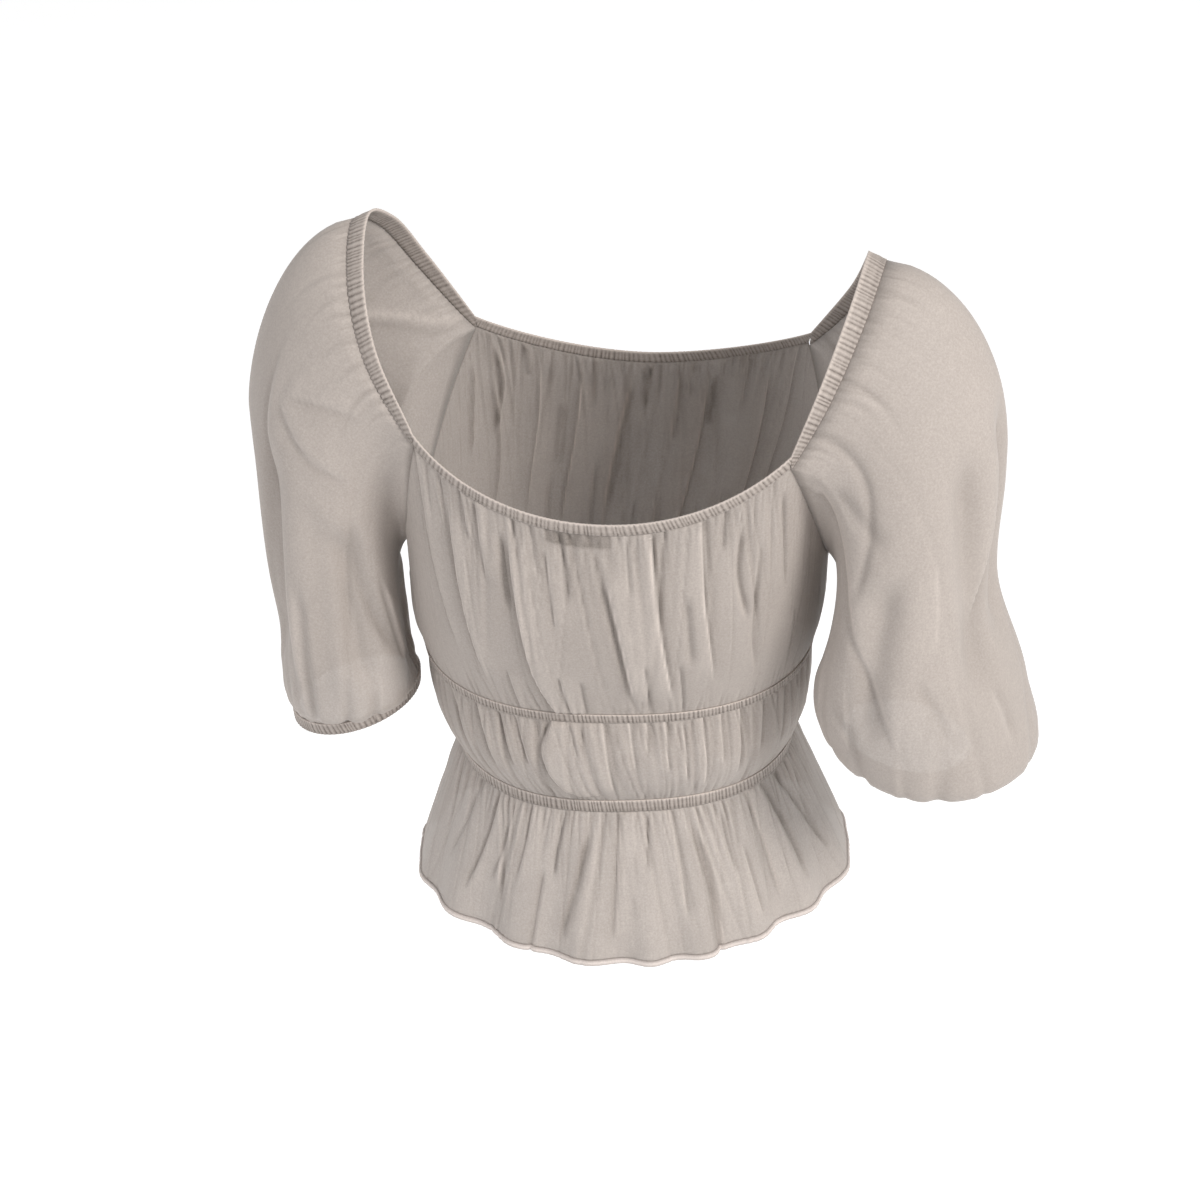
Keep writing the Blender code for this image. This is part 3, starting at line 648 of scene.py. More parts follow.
@dataclass
class Relief:
    """How far the cloth stands out, and its painted shade and painted highlight (with the darker tone of
    seams and of what shows through), at each point of a grid.
    """

    height: np.ndarray
    dark: np.ndarray
    light: np.ndarray

    @classmethod
    def flat(cls, shape: tuple[int, int]) -> "Relief":
        """A relief with nothing on it yet."""
        return cls(np.zeros(shape), np.zeros(shape), np.zeros(shape))

    def crease(
        self, s: np.ndarray, t: np.ndarray, path: np.ndarray, crease: Crease, fades: tuple[bool, bool]
    ) -> None:
        """Adds one crease, with the painted shade and painted highlight of its fold.

        Args:
            s: Distance across the cloth at each point, in metres.
            t: Distance down the cloth at each point.
            path: The crease's points as (s, t).
            crease: Its sizes.
            fades: Whether it fades at its start and at its end.
        """
        fine = smooth_between(np.arange(len(path)), path, np.linspace(0, len(path) - 1, 4 * len(path)))
        lengths = np.concatenate([[0.0], np.cumsum(np.linalg.norm(np.diff(fine, axis=0), axis=1))])
        nearest = np.full(s.shape, 9.0)
        signed = np.full(s.shape, 9.0)
        along = np.zeros(s.shape)
        for k in range(len(fine) - 1):
            ds, dt = fine[k + 1] - fine[k]
            span = math.hypot(ds, dt)
            place = np.clip(((s - fine[k, 0]) * ds + (t - fine[k, 1]) * dt) / span**2, 0.0, 1.0)
            off_s = s - fine[k, 0] - place * ds
            off_t = t - fine[k, 1] - place * dt
            apart = np.hypot(off_s, off_t)
            closer = apart < nearest
            nearest = np.where(closer, apart, nearest)
            side = np.sign(off_s * dt - off_t * ds)
            signed = np.where(closer, side * apart, signed)
            along = np.where(closer, lengths[k] + place * span, along)
        share = along / lengths[-1]
        fade = np.ones(s.shape)
        if fades[0]:
            fade *= eased(share / FADE_SHARE)
        if fades[1]:
            fade *= eased((1 - share) / FADE_SHARE)
        width = FOLD_WIDTH * crease.width * MM
        towards = signed * (1 if crease.rise >= 0 else -1)
        self.height -= FOLD_DEPTH * crease.depth * MM * np.exp(-((nearest / width) ** 2)) * fade
        lip = 0.5 + 0.5 * np.tanh(towards / (0.5 * width))
        reach = crease.reach * MM
        swell = lip * np.exp(-((np.maximum(towards, 0.0) / reach) ** 2)) * fade
        behind = np.maximum(-towards, 0.0) / (SHADOW_REACH * reach)
        shadow = (1 - lip) * np.exp(-(behind**2)) * fade
        self.height += FOLD_DEPTH * abs(crease.rise) * MM * swell
        trough = np.exp(-(((towards + TROUGH_PLACE * width) / width) ** 2)) * fade
        rim = np.exp(-(((towards - RIM_PLACE * width) / (RIM_WIDTH * width)) ** 2)) * fade
        # Painted shade in the trough and a painted shadow on the far side; on the rim a painted highlight,
        # and on the swelling a lighter tone that is partly doubled-over cloth and partly painted highlight
        self.dark += crease.dark * (TROUGH_TONE * trough + SHADOW_TONE * shadow)
        self.light += crease.light * (RIM_TONE * rim + SWELL_TONE * swell)

    def gathers(
        self,
        s: np.ndarray,
        from_edge: np.ndarray,
        gathers: Gathers,
        span: tuple[float, float] | None = None,
    ) -> None:
        """Adds a row of small gathers that fade away from an edge, uneven but the same each time, with
        painted shade in each and a painted highlight beside it.

        Args:
            s: Distance along the edge.
            from_edge: Distance from the edge.
            gathers: Their sizes.
            span: The lowest and highest s that they cover, or None for all.
        """
        chance = np.random.default_rng(gathers.seed)
        low, high = (float(s.min()), float(s.max())) if span is None else span
        at = low
        while at < high:
            at += gathers.pitch * MM * chance.uniform(*PITCH_SPREAD)
            length = gathers.length * MM * chance.uniform(*LENGTH_SPREAD) ** 1.5
            width = gathers.width * MM * chance.uniform(*WIDTH_SPREAD)
            strength = chance.uniform(*STRENGTH_SPREAD)
            drift = chance.uniform(*LEAN_SPREAD)
            off = s - at - drift * from_edge
            fade = np.exp(-((from_edge / length) ** 2)) * (from_edge >= -0.001)
            bell = np.exp(-((off / width) ** 2)) * fade * strength
            self.height -= gathers.depth * MM * bell
            self.height += 0.4 * gathers.depth * MM * np.exp(-(((off - 1.7 * width) / width) ** 2)) * fade
            # Painted shade in each gather, and a painted highlight on the rim beside it
            self.dark += gathers.dark * bell
            rim = np.exp(-(((off - 1.4 * width) / (0.7 * width)) ** 2)) * fade * strength
            self.light += 0.8 * gathers.dark * rim

    def comb(
        self, s: np.ndarray, t: np.ndarray, pitch: float, depth: float, slant: float, seed: int
    ) -> None:
        """Adds the tight ripples of an elastic, rounded ridges with narrow creases between them, with
        painted shade in the creases and a painted highlight on the ridge tops.

        Args:
            s: Distance along the casing.
            t: Distance down it.
            pitch: Usual width of a ripple, in metres.
            depth: Its height, in metres.
            slant: How far a ripple leans for each metre down.
            seed: Which uneven row of widths it takes.
        """
        chance = np.random.default_rng(seed)
        count = int((s.max() - s.min()) / pitch) + 4
        widths = pitch * chance.uniform(0.6, 1.4, count)
        edges = s.min() - pitch + np.concatenate([[0.0], np.cumsum(widths)]) / widths.sum() * (
            s.max() - s.min() + 2 * pitch
        )
        lean = slant * (1 + 0.6 * np.sin(s * 60.0 + seed))
        phase = np.interp(s + lean * t, edges, np.arange(count + 1))
        ridge = np.abs(np.sin(math.pi * phase)) ** 0.55
        strength = 0.6 + 0.4 * np.interp(phase, np.arange(count + 1), chance.uniform(0.0, 1.0, count + 1))
        self.height += depth * (ridge - 0.6) * strength
        # Painted shade in the creases between the ripples, and a painted highlight on the tops of the ridges
        self.dark += (1.0 - ridge) * 1.3 * strength
        self.light += np.clip(ridge - 0.8, 0.0, 1.0) * 1.2 * strength


@dataclass
class Piece:
    """One piece of cloth as a closed thin shell, with its painted shade and painted highlight on its points.
    """

    node: str
    points: np.ndarray
    normals: np.ndarray
    thickness: float
    relief: Relief
    s: np.ndarray
    t: np.ndarray
    closed: bool = False

    def build(
        self,
        material: bpy.types.Material,
        slot: Slot,
        flat: tuple[float, float],
        rests_on: list[str],
        area: float | None = None,
    ) -> bpy.types.Object:
        """Makes the object.

        Args:
            material: Its material.
            slot: A material slot; not used.
            flat: Its cut width and length in metres; not used.
            rests_on: The nodes or pieces that hold it; not used.
            area: Its cut area in square metres, where that is less than the width times the length; not
                used.

        Returns:
            The new object.
        """
        rows, columns = self.points.shape[:2]
        spans = columns if self.closed else columns - 1
        half = self.normals * self.thickness / 2
        vertices = np.concatenate([(self.points + half).reshape(-1, 3), (self.points - half).reshape(-1, 3)])
        row, column = np.meshgrid(np.arange(rows - 1), np.arange(spans), indexing="ij")
        a = (row * columns + column).ravel()
        b = a + columns
        d = (row * columns + (column + 1) % columns).ravel()
        c = d + columns
        inside = rows * columns
        outer = np.stack([a, b, c, d], axis=1)
        inner = np.stack([d, c, b, a], axis=1) + inside
        across = np.arange(spans)
        after = (across + 1) % columns
        last = (rows - 1) * columns

        def rim(start: np.ndarray, end: np.ndarray) -> np.ndarray:
            return np.stack([start, end, end + inside, start + inside], axis=1)

        faces = [outer, inner, rim(across, after), rim(last + after, last + across)]
        if not self.closed:
            down = np.arange(rows - 1) * columns
            below = down + columns
            end = columns - 1
            faces += [rim(below, down), rim(down + end, below + end)]
        faces = np.concatenate(faces)
        first = vertices[outer]
        turn = np.cross(first[:, 1] - first[:, 0], first[:, 3] - first[:, 0])
        if (turn * self.normals.reshape(-1, 3)[a]).sum() < 0:
            faces = faces[:, ::-1]
        name = f"{self.node}_cloth"
        mesh = bpy.data.meshes.new(name)
        mesh.vertices.add(len(vertices))
        mesh.vertices.foreach_set("co", vertices.ravel())
        mesh.loops.add(faces.size)
        mesh.loops.foreach_set("vertex_index", faces.ravel().astype(np.int32))
        mesh.polygons.add(len(faces))
        mesh.polygons.foreach_set("loop_start", np.arange(0, faces.size, 4, dtype=np.int32))
        mesh.update(calc_edges=True)
        mesh.validate()
        self._looks(mesh)
        mesh.shade_smooth()
        mesh.materials.append(material)
        piece = bpy.data.objects.new(name, mesh)
        bpy.context.scene.collection.objects.link(piece)
        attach(piece, "root")
        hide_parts(self.node)
        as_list(rests_on)
        LOG.info("%s: %d faces", name, len(mesh.polygons))
        return piece

    def _looks(self, mesh: bpy.types.Mesh) -> None:
        """Writes the cloth's own coordinates on the mesh, and its painted shade and painted highlight (with
        the darker tone of seams and of what shows through).
        """
        for name, values in (("painted_shade_and_tone", self.relief.dark), ("painted_highlight", self.relief.light)):
            attribute = mesh.attributes.new(name, "FLOAT", "POINT")
            flat = np.clip(values, 0.0, 1.0).ravel()
            attribute.data.foreach_set("value", np.concatenate([flat, flat]).astype(np.float32))
        corners = np.zeros(len(mesh.loops), dtype=np.int32)
        mesh.loops.foreach_get("vertex_index", corners)
        corners %= self.s.size
        cloth = np.stack([self.s.ravel()[corners], self.t.ravel()[corners]], axis=1)
        layer = mesh.uv_layers.new(name="cloth")
        layer.data.foreach_set("uv", cloth.ravel().astype(np.float32))


class Sheet:
    """A gathered half panel of the torso before it is built."""

    # The share of the columns beyond each corner of the neckline
    END_COLUMNS = 0.24

    def __init__(
        self, side: Side, columns: int, rows: int, top_z: Line, bottom_z: Line, out: Stand
    ) -> None:
        """Lays the panel out on the figure.

        Args:
            side: The back or the front.
            columns: How many columns it has, from one side seam to the other.
            rows: How many rows it has.
            top_z: The height of its upper edge.
            bottom_z: The height of its lower edge.
            out: How far it stands out from the figure.
        """
        corner = TORSO_FORM.corner(side)
        ends = int(columns * self.END_COLUMNS)
        middle = columns - 2 * ends + 2
        self.side = side
        self.angle = np.concatenate(
            [
                np.linspace(-SIDE_ANGLE, -corner, ends),
                np.linspace(-corner, corner, middle)[1:],
                np.linspace(corner, SIDE_ANGLE, ends)[1:],
            ]
        )
        self.share = steps(rows)
        start_z = top_z(self.angle, side)
        end_z = bottom_z(self.angle, side)
        z = start_z + (end_z - start_z) * self.share[:, None]
        stand = np.array([out(share, self.angle) for share in self.share])
        self.points = TORSO_FORM.points(self.angle[None, :], side, z, stand)
        self.normals = outward_normals(self.points, np.zeros(3))
        middle_row = self.points[rows // 2]
        across = np.concatenate([[0.0], np.cumsum(np.linalg.norm(np.diff(middle_row, axis=0), axis=1))])
        across -= np.interp(0.0, self.angle, across)
        down = np.linalg.norm(np.diff(self.points, axis=0), axis=2)
        self.length = np.concatenate([np.zeros((1, len(self.angle))), np.cumsum(down, axis=0)])
        self.across = across
        self.fall = float(self.length[-1, len(self.angle) // 2])
        self.s = np.broadcast_to(across, self.length.shape).copy()
        self.even_t = np.broadcast_to(self.share[:, None] * self.fall, self.length.shape)
        self.relief = Relief.flat(self.length.shape)

    def crease_rows(self, creases: tuple[Crease, ...]) -> None:
        """Lays a table of creases on the panel."""
        for crease in creases:
            path = np.array(crease.path, float)
            s = np.interp(np.radians(path[:, 0]), self.angle, self.across)
            route = np.column_stack([s, path[:, 1] * self.fall])
            self.relief.crease(self.s, self.even_t, route, crease, path_fades(path))

    def edge_fade(self, top: float, bottom: float, sides: float) -> None:
        """Brings the relief to nothing at the edges, over distances in metres (0 leaves an edge)."""
        fade = np.ones(self.length.shape)
        if top:
            fade *= eased(self.length / top)
        if bottom:
            fade *= eased((self.length[-1:] - self.length) / bottom)
        if sides:
            fade *= eased((self.across[-1] - self.across)[None, :] / sides)
            fade *= eased((self.across - self.across[0])[None, :] / sides)
        self.relief.height *= fade

    def piece(self, node: str) -> Piece:
        """The panel with its relief, ready to build."""
        points = self.points + self.normals * self.relief.height[..., None]
        normals = outward_normals(points, np.zeros(3))
        return Piece(node, points, normals, SHEER_THICKNESS, self.relief, self.s, self.length)


class Bodice(Sheet):
    """The bodice's half panel, from the neck casing and the armholes to the rib elastic."""

    COLUMNS = 330
    ROWS = 84
    STANDS_OUT = (0.0100, 0.0030)

    def __init__(self, side: Side, creases: tuple[Crease, ...], seed: int) -> None:
        """Lays out the bodice with its folds.

        Args:
            side: The back or the front.
            creases: Its main folds.
            seed: Which uneven rows of gathers it takes.
        """
        bottom = risen(RIB_LINE_Z + RIB_CASING_HEIGHT / 2)
        out = balloon(*self.STANDS_OUT)
        super().__init__(side, self.COLUMNS, self.ROWS, TORSO_FORM.bodice_top_z, bottom, out)
        corner = TORSO_FORM.corner(side)
        limit = float(np.interp(corner, self.angle, self.across))
        self.relief.gathers(self.s, self.length, Gathers(4.6, 0.8, 0.95, 20.0, 0.30, seed), (-limit, limit))
        broad = Gathers(10.0, 1.2, 1.6, 85.0, 0.16, seed + 1)
        self.relief.gathers(self.s, self.length, broad, (-limit, limit))
        self.relief.gathers(self.s, self.length, Gathers(6.5, 0.4, 0.7, 120.0, 0.20, seed + 6))
        self.relief.dark += 0.10
        from_rib = self.length[-1:] - self.length
        self.relief.gathers(self.s, from_rib, Gathers(5.5, 0.9, 1.1, 14.0, 0.28, seed + 2))
        self.crease_rows(creases)
        if side is Side.BACK:
            self._label_shows()
        inside = eased((limit + 0.004 - np.abs(self.across)) / 0.008)[None, :]
        armhole = eased(self.length / 0.006)
        self.relief.height *= inside + (1 - inside) * armhole
        self.edge_fade(top=0.0025, bottom=0.004, sides=0.008)
        seam = np.exp(-((self.length / SEAM_WIDTH) ** 2)) * (1 - inside)
        self.relief.dark += 0.55 * seam

    def _label_shows(self) -> None:
        """Darkens the sheer cloth where the label lies behind it."""
        beside = eased((LABEL_WIDTH / 2 + 0.0005 - np.abs(self.s - LABEL_SIDE)) / LABEL_BLUR)
        below = eased((LABEL_SHOWN - self.length) / LABEL_BLUR)
        self.relief.dark += 0.55 * beside * below


class Midriff(Sheet):
    """The half panel between the rib and the waist elastics."""

    COLUMNS = 360
    ROWS = 44
    STANDS_OUT = (0.0085, 0.0045)

    def __init__(self, side: Side, creases: tuple[Crease, ...], seed: int) -> None:
        """Lays out the midriff with its folds, as the bodice."""
        top = risen(RIB_LINE_Z - RIB_CASING_HEIGHT / 2)
        bottom = risen(WAIST_LINE_Z + WAIST_CASING_HEIGHT / 2)
        super().__init__(side, self.COLUMNS, self.ROWS, top, bottom, balloon(*self.STANDS_OUT))
        from_waist = self.length[-1:] - self.length
        self.relief.gathers(self.s, self.length, Gathers(4.8, 0.8, 1.0, 13.0, 0.28, seed))
        self.relief.gathers(self.s, from_waist, Gathers(5.0, 0.8, 1.0, 13.0, 0.28, seed + 1))
        self.relief.gathers(self.s, self.length, Gathers(11.0, 1.3, 1.8, 60.0, 0.16, seed + 2))
        self.relief.gathers(self.s, self.length, Gathers(6.0, 0.4, 0.7, 70.0, 0.20, seed + 6))
        self.relief.dark += 0.16
        self.crease_rows(creases)
        self.edge_fade(top=0.003, bottom=0.003, sides=0.008)


class Peplum(Sheet):
    """The half panel that flares from the waist elastic to the rolled hem."""

    COLUMNS = 340
    ROWS = 56
    BACK_FLARE = 0.037
    SIDE_FLARE = 0.038
    FRONT_FLARE = 0.034
    CORNER_LESS = 0.011
    FLARE_CURVE = 0.82
    FLUTES = 9
    FLUTE_DEPTH = 0.0034
    FLUTE_FADE = 0.045

    def __init__(self, side: Side, creases: tuple[Crease, ...], seed: int) -> None:
        """Lays out the peplum with its flutes, as the bodice."""
        middle = self.BACK_FLARE if side is Side.BACK else self.FRONT_FLARE

        def out(share: float, angle: np.ndarray) -> np.ndarray:
            around = np.sin(angle) ** 2
            flare = middle * (1 - around) + self.SIDE_FLARE * around
            flare -= self.CORNER_LESS * np.sin(2 * angle) ** 2
            return flare * share**self.FLARE_CURVE

        top = risen(WAIST_LINE_Z - WAIST_CASING_HEIGHT / 2)
        super().__init__(side, self.COLUMNS, self.ROWS, top, risen(HEM_Z + HEM_ROLL_HEIGHT, 0.0), out)
        self.relief.gathers(self.s, self.length, Gathers(4.6, 0.8, 0.9, 20.0, 0.34, seed))
        self.relief.gathers(self.s, self.length, Gathers(10.0, 1.3, 1.7, 60.0, 0.20, seed + 1))
        self.relief.gathers(self.s, self.length, Gathers(7.0, 0.4, 0.8, 90.0, 0.20, seed + 6))
        self._flutes(seed)
        self.crease_rows(creases)
        self.edge_fade(top=0.003, bottom=0.0, sides=0.010)

    def _flutes(self, seed: int) -> None:
        """Adds the broad waves of the flared hem."""
        chance = np.random.default_rng(seed + 5)
        widths = chance.uniform(0.75, 1.3, self.FLUTES)
        edges = np.concatenate([[0.0], np.cumsum(widths)]) / widths.sum()
        place = (self.across - self.across[0]) / (self.across[-1] - self.across[0])
        phase = np.interp(place, edges, np.arange(self.FLUTES + 1))
        wave = np.cos(2 * math.pi * phase)
        near_side = np.minimum(self.across - self.across[0], self.across[-1] - self.across)
        strength = self.FLUTE_DEPTH * self.share[:, None] ** 1.2 * eased(near_side / self.FLUTE_FADE)
        self.relief.height -= strength * wave[None, :]


class Sleeve:
    """A puffed sleeve, from its shoulder casing and the armhole to its cuff casing."""

    OVER_COLUMNS = 210
    UNDER_COLUMNS = 64
    ROWS = 84
    CROWDED = 0.5
    SEEDS = {1: 40, -1: 60}

    def __init__(self, shape: SleeveShape) -> None:
        """Lays out the sleeve round its arm.

        Args:
            shape: Its sizes.
        """
        self.shape = shape
        lower = self.shoulder_edges(self.OVER_COLUMNS)[1]
        under = self._underarm(self.UNDER_COLUMNS)
        ring = np.concatenate([lower, under])
        over = np.linspace(CORNER_DIRECTION, -CORNER_DIRECTION, self.OVER_COLUMNS)
        rest = np.linspace(-CORNER_DIRECTION, CORNER_DIRECTION - 2 * math.pi, len(under) + 2)[1:-1]
        self.direction = np.concatenate([over, rest])
        self.falls = steps(self.ROWS, self.CROWDED)
        self.points = self._grid(ring)
        self.centre = np.array([shape.sign * shape.arm.top_side, shape.arm.top_back, 0.0])
        self.normals = outward_normals(self.points, self.centre, True)
        down = np.linalg.norm(np.diff(self.points, axis=0), axis=2)
        self.length = np.concatenate([np.zeros((1, len(ring))), np.cumsum(down, axis=0)])
        self.fall = float(self.length[-1].mean())
        self.s = np.broadcast_to(self.direction * SLEEVE_RADIUS, self.length.shape).copy()
        self.relief = Relief.flat(self.length.shape)
        self._folds()

    def _corner(self, side: Side) -> np.ndarray:
        """The corner of the neckline where a shoulder casing starts."""
        corner = TORSO_FORM.corner(side)
        z = TORSO_FORM.neckline_z(corner, side)
        return TORSO_FORM.points(self.shape.sign * corner, side, z)

    def shoulder_edges(self, count: int) -> tuple[np.ndarray, np.ndarray]:
        """The shoulder casing's upper and lower edges, as so many points from back to front."""
        shape = self.shape
        usual = [(shape.sign * (x - shape.inward), y, z - shape.drop) for x, y, z in SHOULDER_EDGE]
        over = TORSO_FORM.turned(np.array(usual))
        route = np.array([self._corner(Side.BACK), *over, self._corner(Side.FRONT)])
        lengths = np.concatenate([[0.0], np.cumsum(np.linalg.norm(np.diff(route, axis=0), axis=1))])
        share = np.linspace(0.0, 1.0, count)
        edge = smooth_between(lengths, route, share * lengths[-1])
        rise = np.sin(math.pi * share)[:, None] ** 0.7
        width = NECK_CASING_HEIGHT + (SHOULDER_CASING_WIDTH - NECK_CASING_HEIGHT) * rise
        outward = np.array([shape.sign * math.cos(SHOULDER_SLOPE), 0.0, -math.sin(SHOULDER_SLOPE)])
        across = unit(-UP * (1 - rise) + outward * rise)
        return edge, edge + across * width

    def _underarm(self, half_count: int) -> np.ndarray:
        """The armhole's lower edge from the front corner under the arm to the back corner."""
        sign = self.shape.sign
        halves = []
        for side in (Side.FRONT, Side.BACK):
            angle = np.linspace(TORSO_FORM.corner(side), SIDE_ANGLE, half_count + 1)[1:]
            z = TORSO_FORM.bodice_top_z(angle, side)
            halves.append(TORSO_FORM.points(sign * angle, side, z))
        front, back = halves
        return np.concatenate([front[:-1], (front[-1:] + back[-1:]) / 2, back[:-1][::-1]])

    def _reach(self, section: Section) -> np.ndarray:
        """How far a section reaches in each direction, smooth all the way round."""
        reaches = np.array(section.reaches)
        turns = np.arange(len(reaches)) / len(reaches) * 2 * math.pi
        reach = np.full_like(self.direction, reaches.mean())
        for wave, scale in ((1, 2), (2, 2), (3, 1)):
            reach += scale * (reaches * np.cos(wave * turns)).mean() * np.cos(wave * self.direction)
            reach += scale * (reaches * np.sin(wave * turns)).mean() * np.sin(wave * self.direction)
        return reach

    def _grid(self, ring: np.ndarray) -> np.ndarray:
        """The sleeve's smooth form, from its ring of top points to the cuff casing."""
        shape = self.shape
        arm = shape.arm
        side = np.array([shape.sign, 0.0])
        behind = np.array([0.0, 1.0])
        outward = np.cos(self.direction)[:, None] * side + np.sin(self.direction)[:, None] * behind
        sag_share = 0.5 + 0.5 * np.cos(self.direction - math.radians(shape.sag_direction))
        cuff_z = arm.cuff_z - arm.cuff_tilt * np.cos(self.direction)
        falls = [section.fall for section in shape.sections]
        reaches = [self._reach(section) for section in shape.sections]
        sags = [section.sag for section in shape.sections]
        grid = []
        for fall in self.falls:
            z = ring[:, 2] + (cuff_z - ring[:, 2]) * fall - smooth_between(falls, sags, fall) * sag_share
            down = np.clip(z / arm.cuff_z, 0.0, 1.0)[:, None]
            axis_side = arm.top_side + (arm.cuff_side - arm.top_side) * down
            axis_back = arm.top_back + (arm.cuff_back - arm.top_back) * down
            swell = math.sqrt(1 - (1 - min(fall / SWELL_END, 1.0)) ** 2)
            reach = smooth_between(falls, reaches, fall)
            full = side * axis_side + behind * axis_back + outward * reach[:, None]
            grid.append(np.column_stack([ring[:, :2] * (1 - swell) + full * swell, z]))
        return np.array(grid)

    def _folds(self) -> None:
        """Lays the sleeve's creases and gathers on it."""
        relief = self.relief
        seed = self.SEEDS[self.shape.sign]
        even_t = np.broadcast_to(self.falls[:, None] * self.fall, self.length.shape)
        over = CORNER_DIRECTION * SLEEVE_RADIUS
        relief.gathers(self.s, self.length, Gathers(5.0, 0.9, 1.1, 13.0, 0.28, seed), (-over, over))
        relief.gathers(self.s, self.length, Gathers(12.0, 0.8, 2.2, 18.0, 0.08, seed + 1), (-over, over))
        from_cuff = self.length[-1:] - self.length
        relief.gathers(self.s, from_cuff, Gathers(6.0, 0.9, 1.2, 14.0, 0.28, seed + 2))
        relief.gathers(self.s, from_cuff, Gathers(19.0, 1.8, 2.8, 50.0, 0.20, seed + 3))
        relief.gathers(self.s, from_cuff, Gathers(24.0, 1.2, 3.2, 120.0, 0.08, seed + 5))
        for crease in self.shape.creases + similar(self.shape.creases, -8.0):
            path = np.array(crease.path, float)
            for turn in (-360.0, 0.0, 360.0):
                s = np.radians(path[:, 0] + turn) * SLEEVE_RADIUS
                if s.max() < self.s.min() - 0.05 or s.min() > self.s.max() + 0.05:
                    continue
                route = np.column_stack([s, path[:, 1] * self.fall])
                relief.crease(self.s, even_t, route, crease, path_fades(path))
        under = np.arange(len(self.direction)) >= self.OVER_COLUMNS
        seam = np.exp(-((self.length / SEAM_WIDTH) ** 2)) * under[None, :]
        relief.dark += 0.5 * seam
        start = np.where(under[None, :], 0.008, 0.002)
        relief.height *= eased(self.length / start) * eased(from_cuff / 0.003)

    def piece(self) -> Piece:
        """The sleeve's cloth with its relief, ready to build."""
        points = self.points + self.normals * self.relief.height[..., None]
        normals = outward_normals(points, self.centre, True)
        node = f"{self.shape.side}_sleeve"
        return Piece(node, points, normals, SHEER_THICKNESS, self.relief, self.s, self.length, True)


class Casing:
    """A narrow tube of cloth over elastic, rippled all along."""

    def __init__(self, top: np.ndarray, bottom: np.ndarray, outward: np.ndarray, rows: int = 9) -> None:
        """Lays the casing between two edges.

        Args:
            top: Points along its upper edge.
            bottom: The points below them on its lower edge.
            outward: Unit vectors away from the wearer.
            rows: How many rows it has.
        """
        share = np.linspace(0.0, 1.0, rows)
        self.share = share
        self.height = float(np.linalg.norm(bottom - top, axis=1).mean())
        self.points = top[None] + (bottom - top)[None] * share[:, None, None]
        self.normals = np.broadcast_to(outward[None], self.points.shape).copy()
        along = np.concatenate([[0.0], np.cumsum(np.linalg.norm(np.diff(top, axis=0), axis=1))])
        self.s = np.broadcast_to(along, self.points.shape[:2]).copy()
        self.t = np.broadcast_to(share[:, None] * self.height, self.s.shape).copy()
        edge_way = unit(np.gradient(top, axis=0))
        self.skew = (unit(bottom - top) * edge_way).sum(axis=1)[None, :]
        self.relief = Relief.flat(self.s.shape)

    def piece(self, node: str, thickness: float, closed: bool = False) -> Piece:
        """The strip with its relief, ready to build.

        Args:
            node: The node that it replaces.
            thickness: How thick its shell is.
            closed: Whether its last column is next to the first.

        Returns:
            The piece.
        """
        points = self.points + self.normals * self.relief.height[..., None]
        return Piece(node, points, self.normals, thickness, self.relief, self.s, self.t, closed)

    def finish(
        self, node: str, pitch: float, seed: int, depth: float = RIPPLE_DEPTH, closed: bool = False
    ) -> Piece:
        """The casing with its ripples, its bulge over the elastic and its stitched edges, with painted shade
        along the stitching and a painted highlight along its top edge.

        Args:
            node: The node that it replaces.
            pitch: Usual width of a ripple.
            seed: Which uneven row of ripples it takes.
            depth: The ripples' height.
            closed: Whether it is a ring.

        Returns:
            The piece.
        """
        self.relief.comb(self.s + self.skew * self.t, self.t, pitch, depth, RIPPLE_LEAN, seed)
        self.relief.dark += LINE_SHADE if "rib" in node or "waist" in node else 0.0
        share = self.share[:, None]
        self.relief.height += 0.0002 * np.sin(math.pi * share) ** 0.7
        top_line = np.exp(-((share / 0.12) ** 2))
        stitch = np.exp(-(((share - 0.82) / 0.09) ** 2))
        self.relief.height += 0.0004 * top_line - 0.0004 * stitch
        # Painted shade in the stitched groove, and a painted highlight along the top edge
        self.relief.dark += 0.35 * stitch - 0.6 * top_line
        self.relief.light += 0.8 * top_line
        return self.piece(node, CASING_THICKNESS, closed)


def torso_casing(
    node: str, side: Side, limit: float, top_z: Line, height: float, pitch: float, seed: int
) -> Piece:
    """An elastic casing round half of the torso.

    Args:
        node: The node that it replaces.
        side: The back or the front.
        limit: The angle from the centre to each of its ends.
        top_z: The height of its upper edge.
        height: How high it is.
        pitch: Usual width of a ripple.
        seed: Which uneven row of ripples it takes.

    Returns:
        The piece.
    """
    reach = HALF_ROUND * limit / SIDE_ANGLE
    angle = np.linspace(-limit, limit, int(reach / pitch) * RIPPLE_COLUMNS)
    upper = top_z(angle, side)
    top = TORSO_FORM.points(angle, side, upper)
    bottom = TORSO_FORM.points(angle, side, upper - height)
    grid = np.array([top, bottom])
    outward = unit(outward_normals(grid, np.zeros(3))[0] * (1.0 - UP))
    return Casing(top, bottom, outward).finish(node, pitch, seed)


def shoulder_casing(sleeve: Sleeve, seed: int) -> Piece:
    """The casing along a sleeve's top edge."""
    edge, lower = sleeve.shoulder_edges(SHOULDER_COLUMNS)
    normals = outward_normals(np.array([edge, lower]), np.zeros(3))[0]
    node = f"{sleeve.shape.side}_shoulder_casing"
    return Casing(edge, lower, normals).finish(node, SLEEVE_RIPPLE, seed, SHOULDER_RIPPLE_DEPTH)


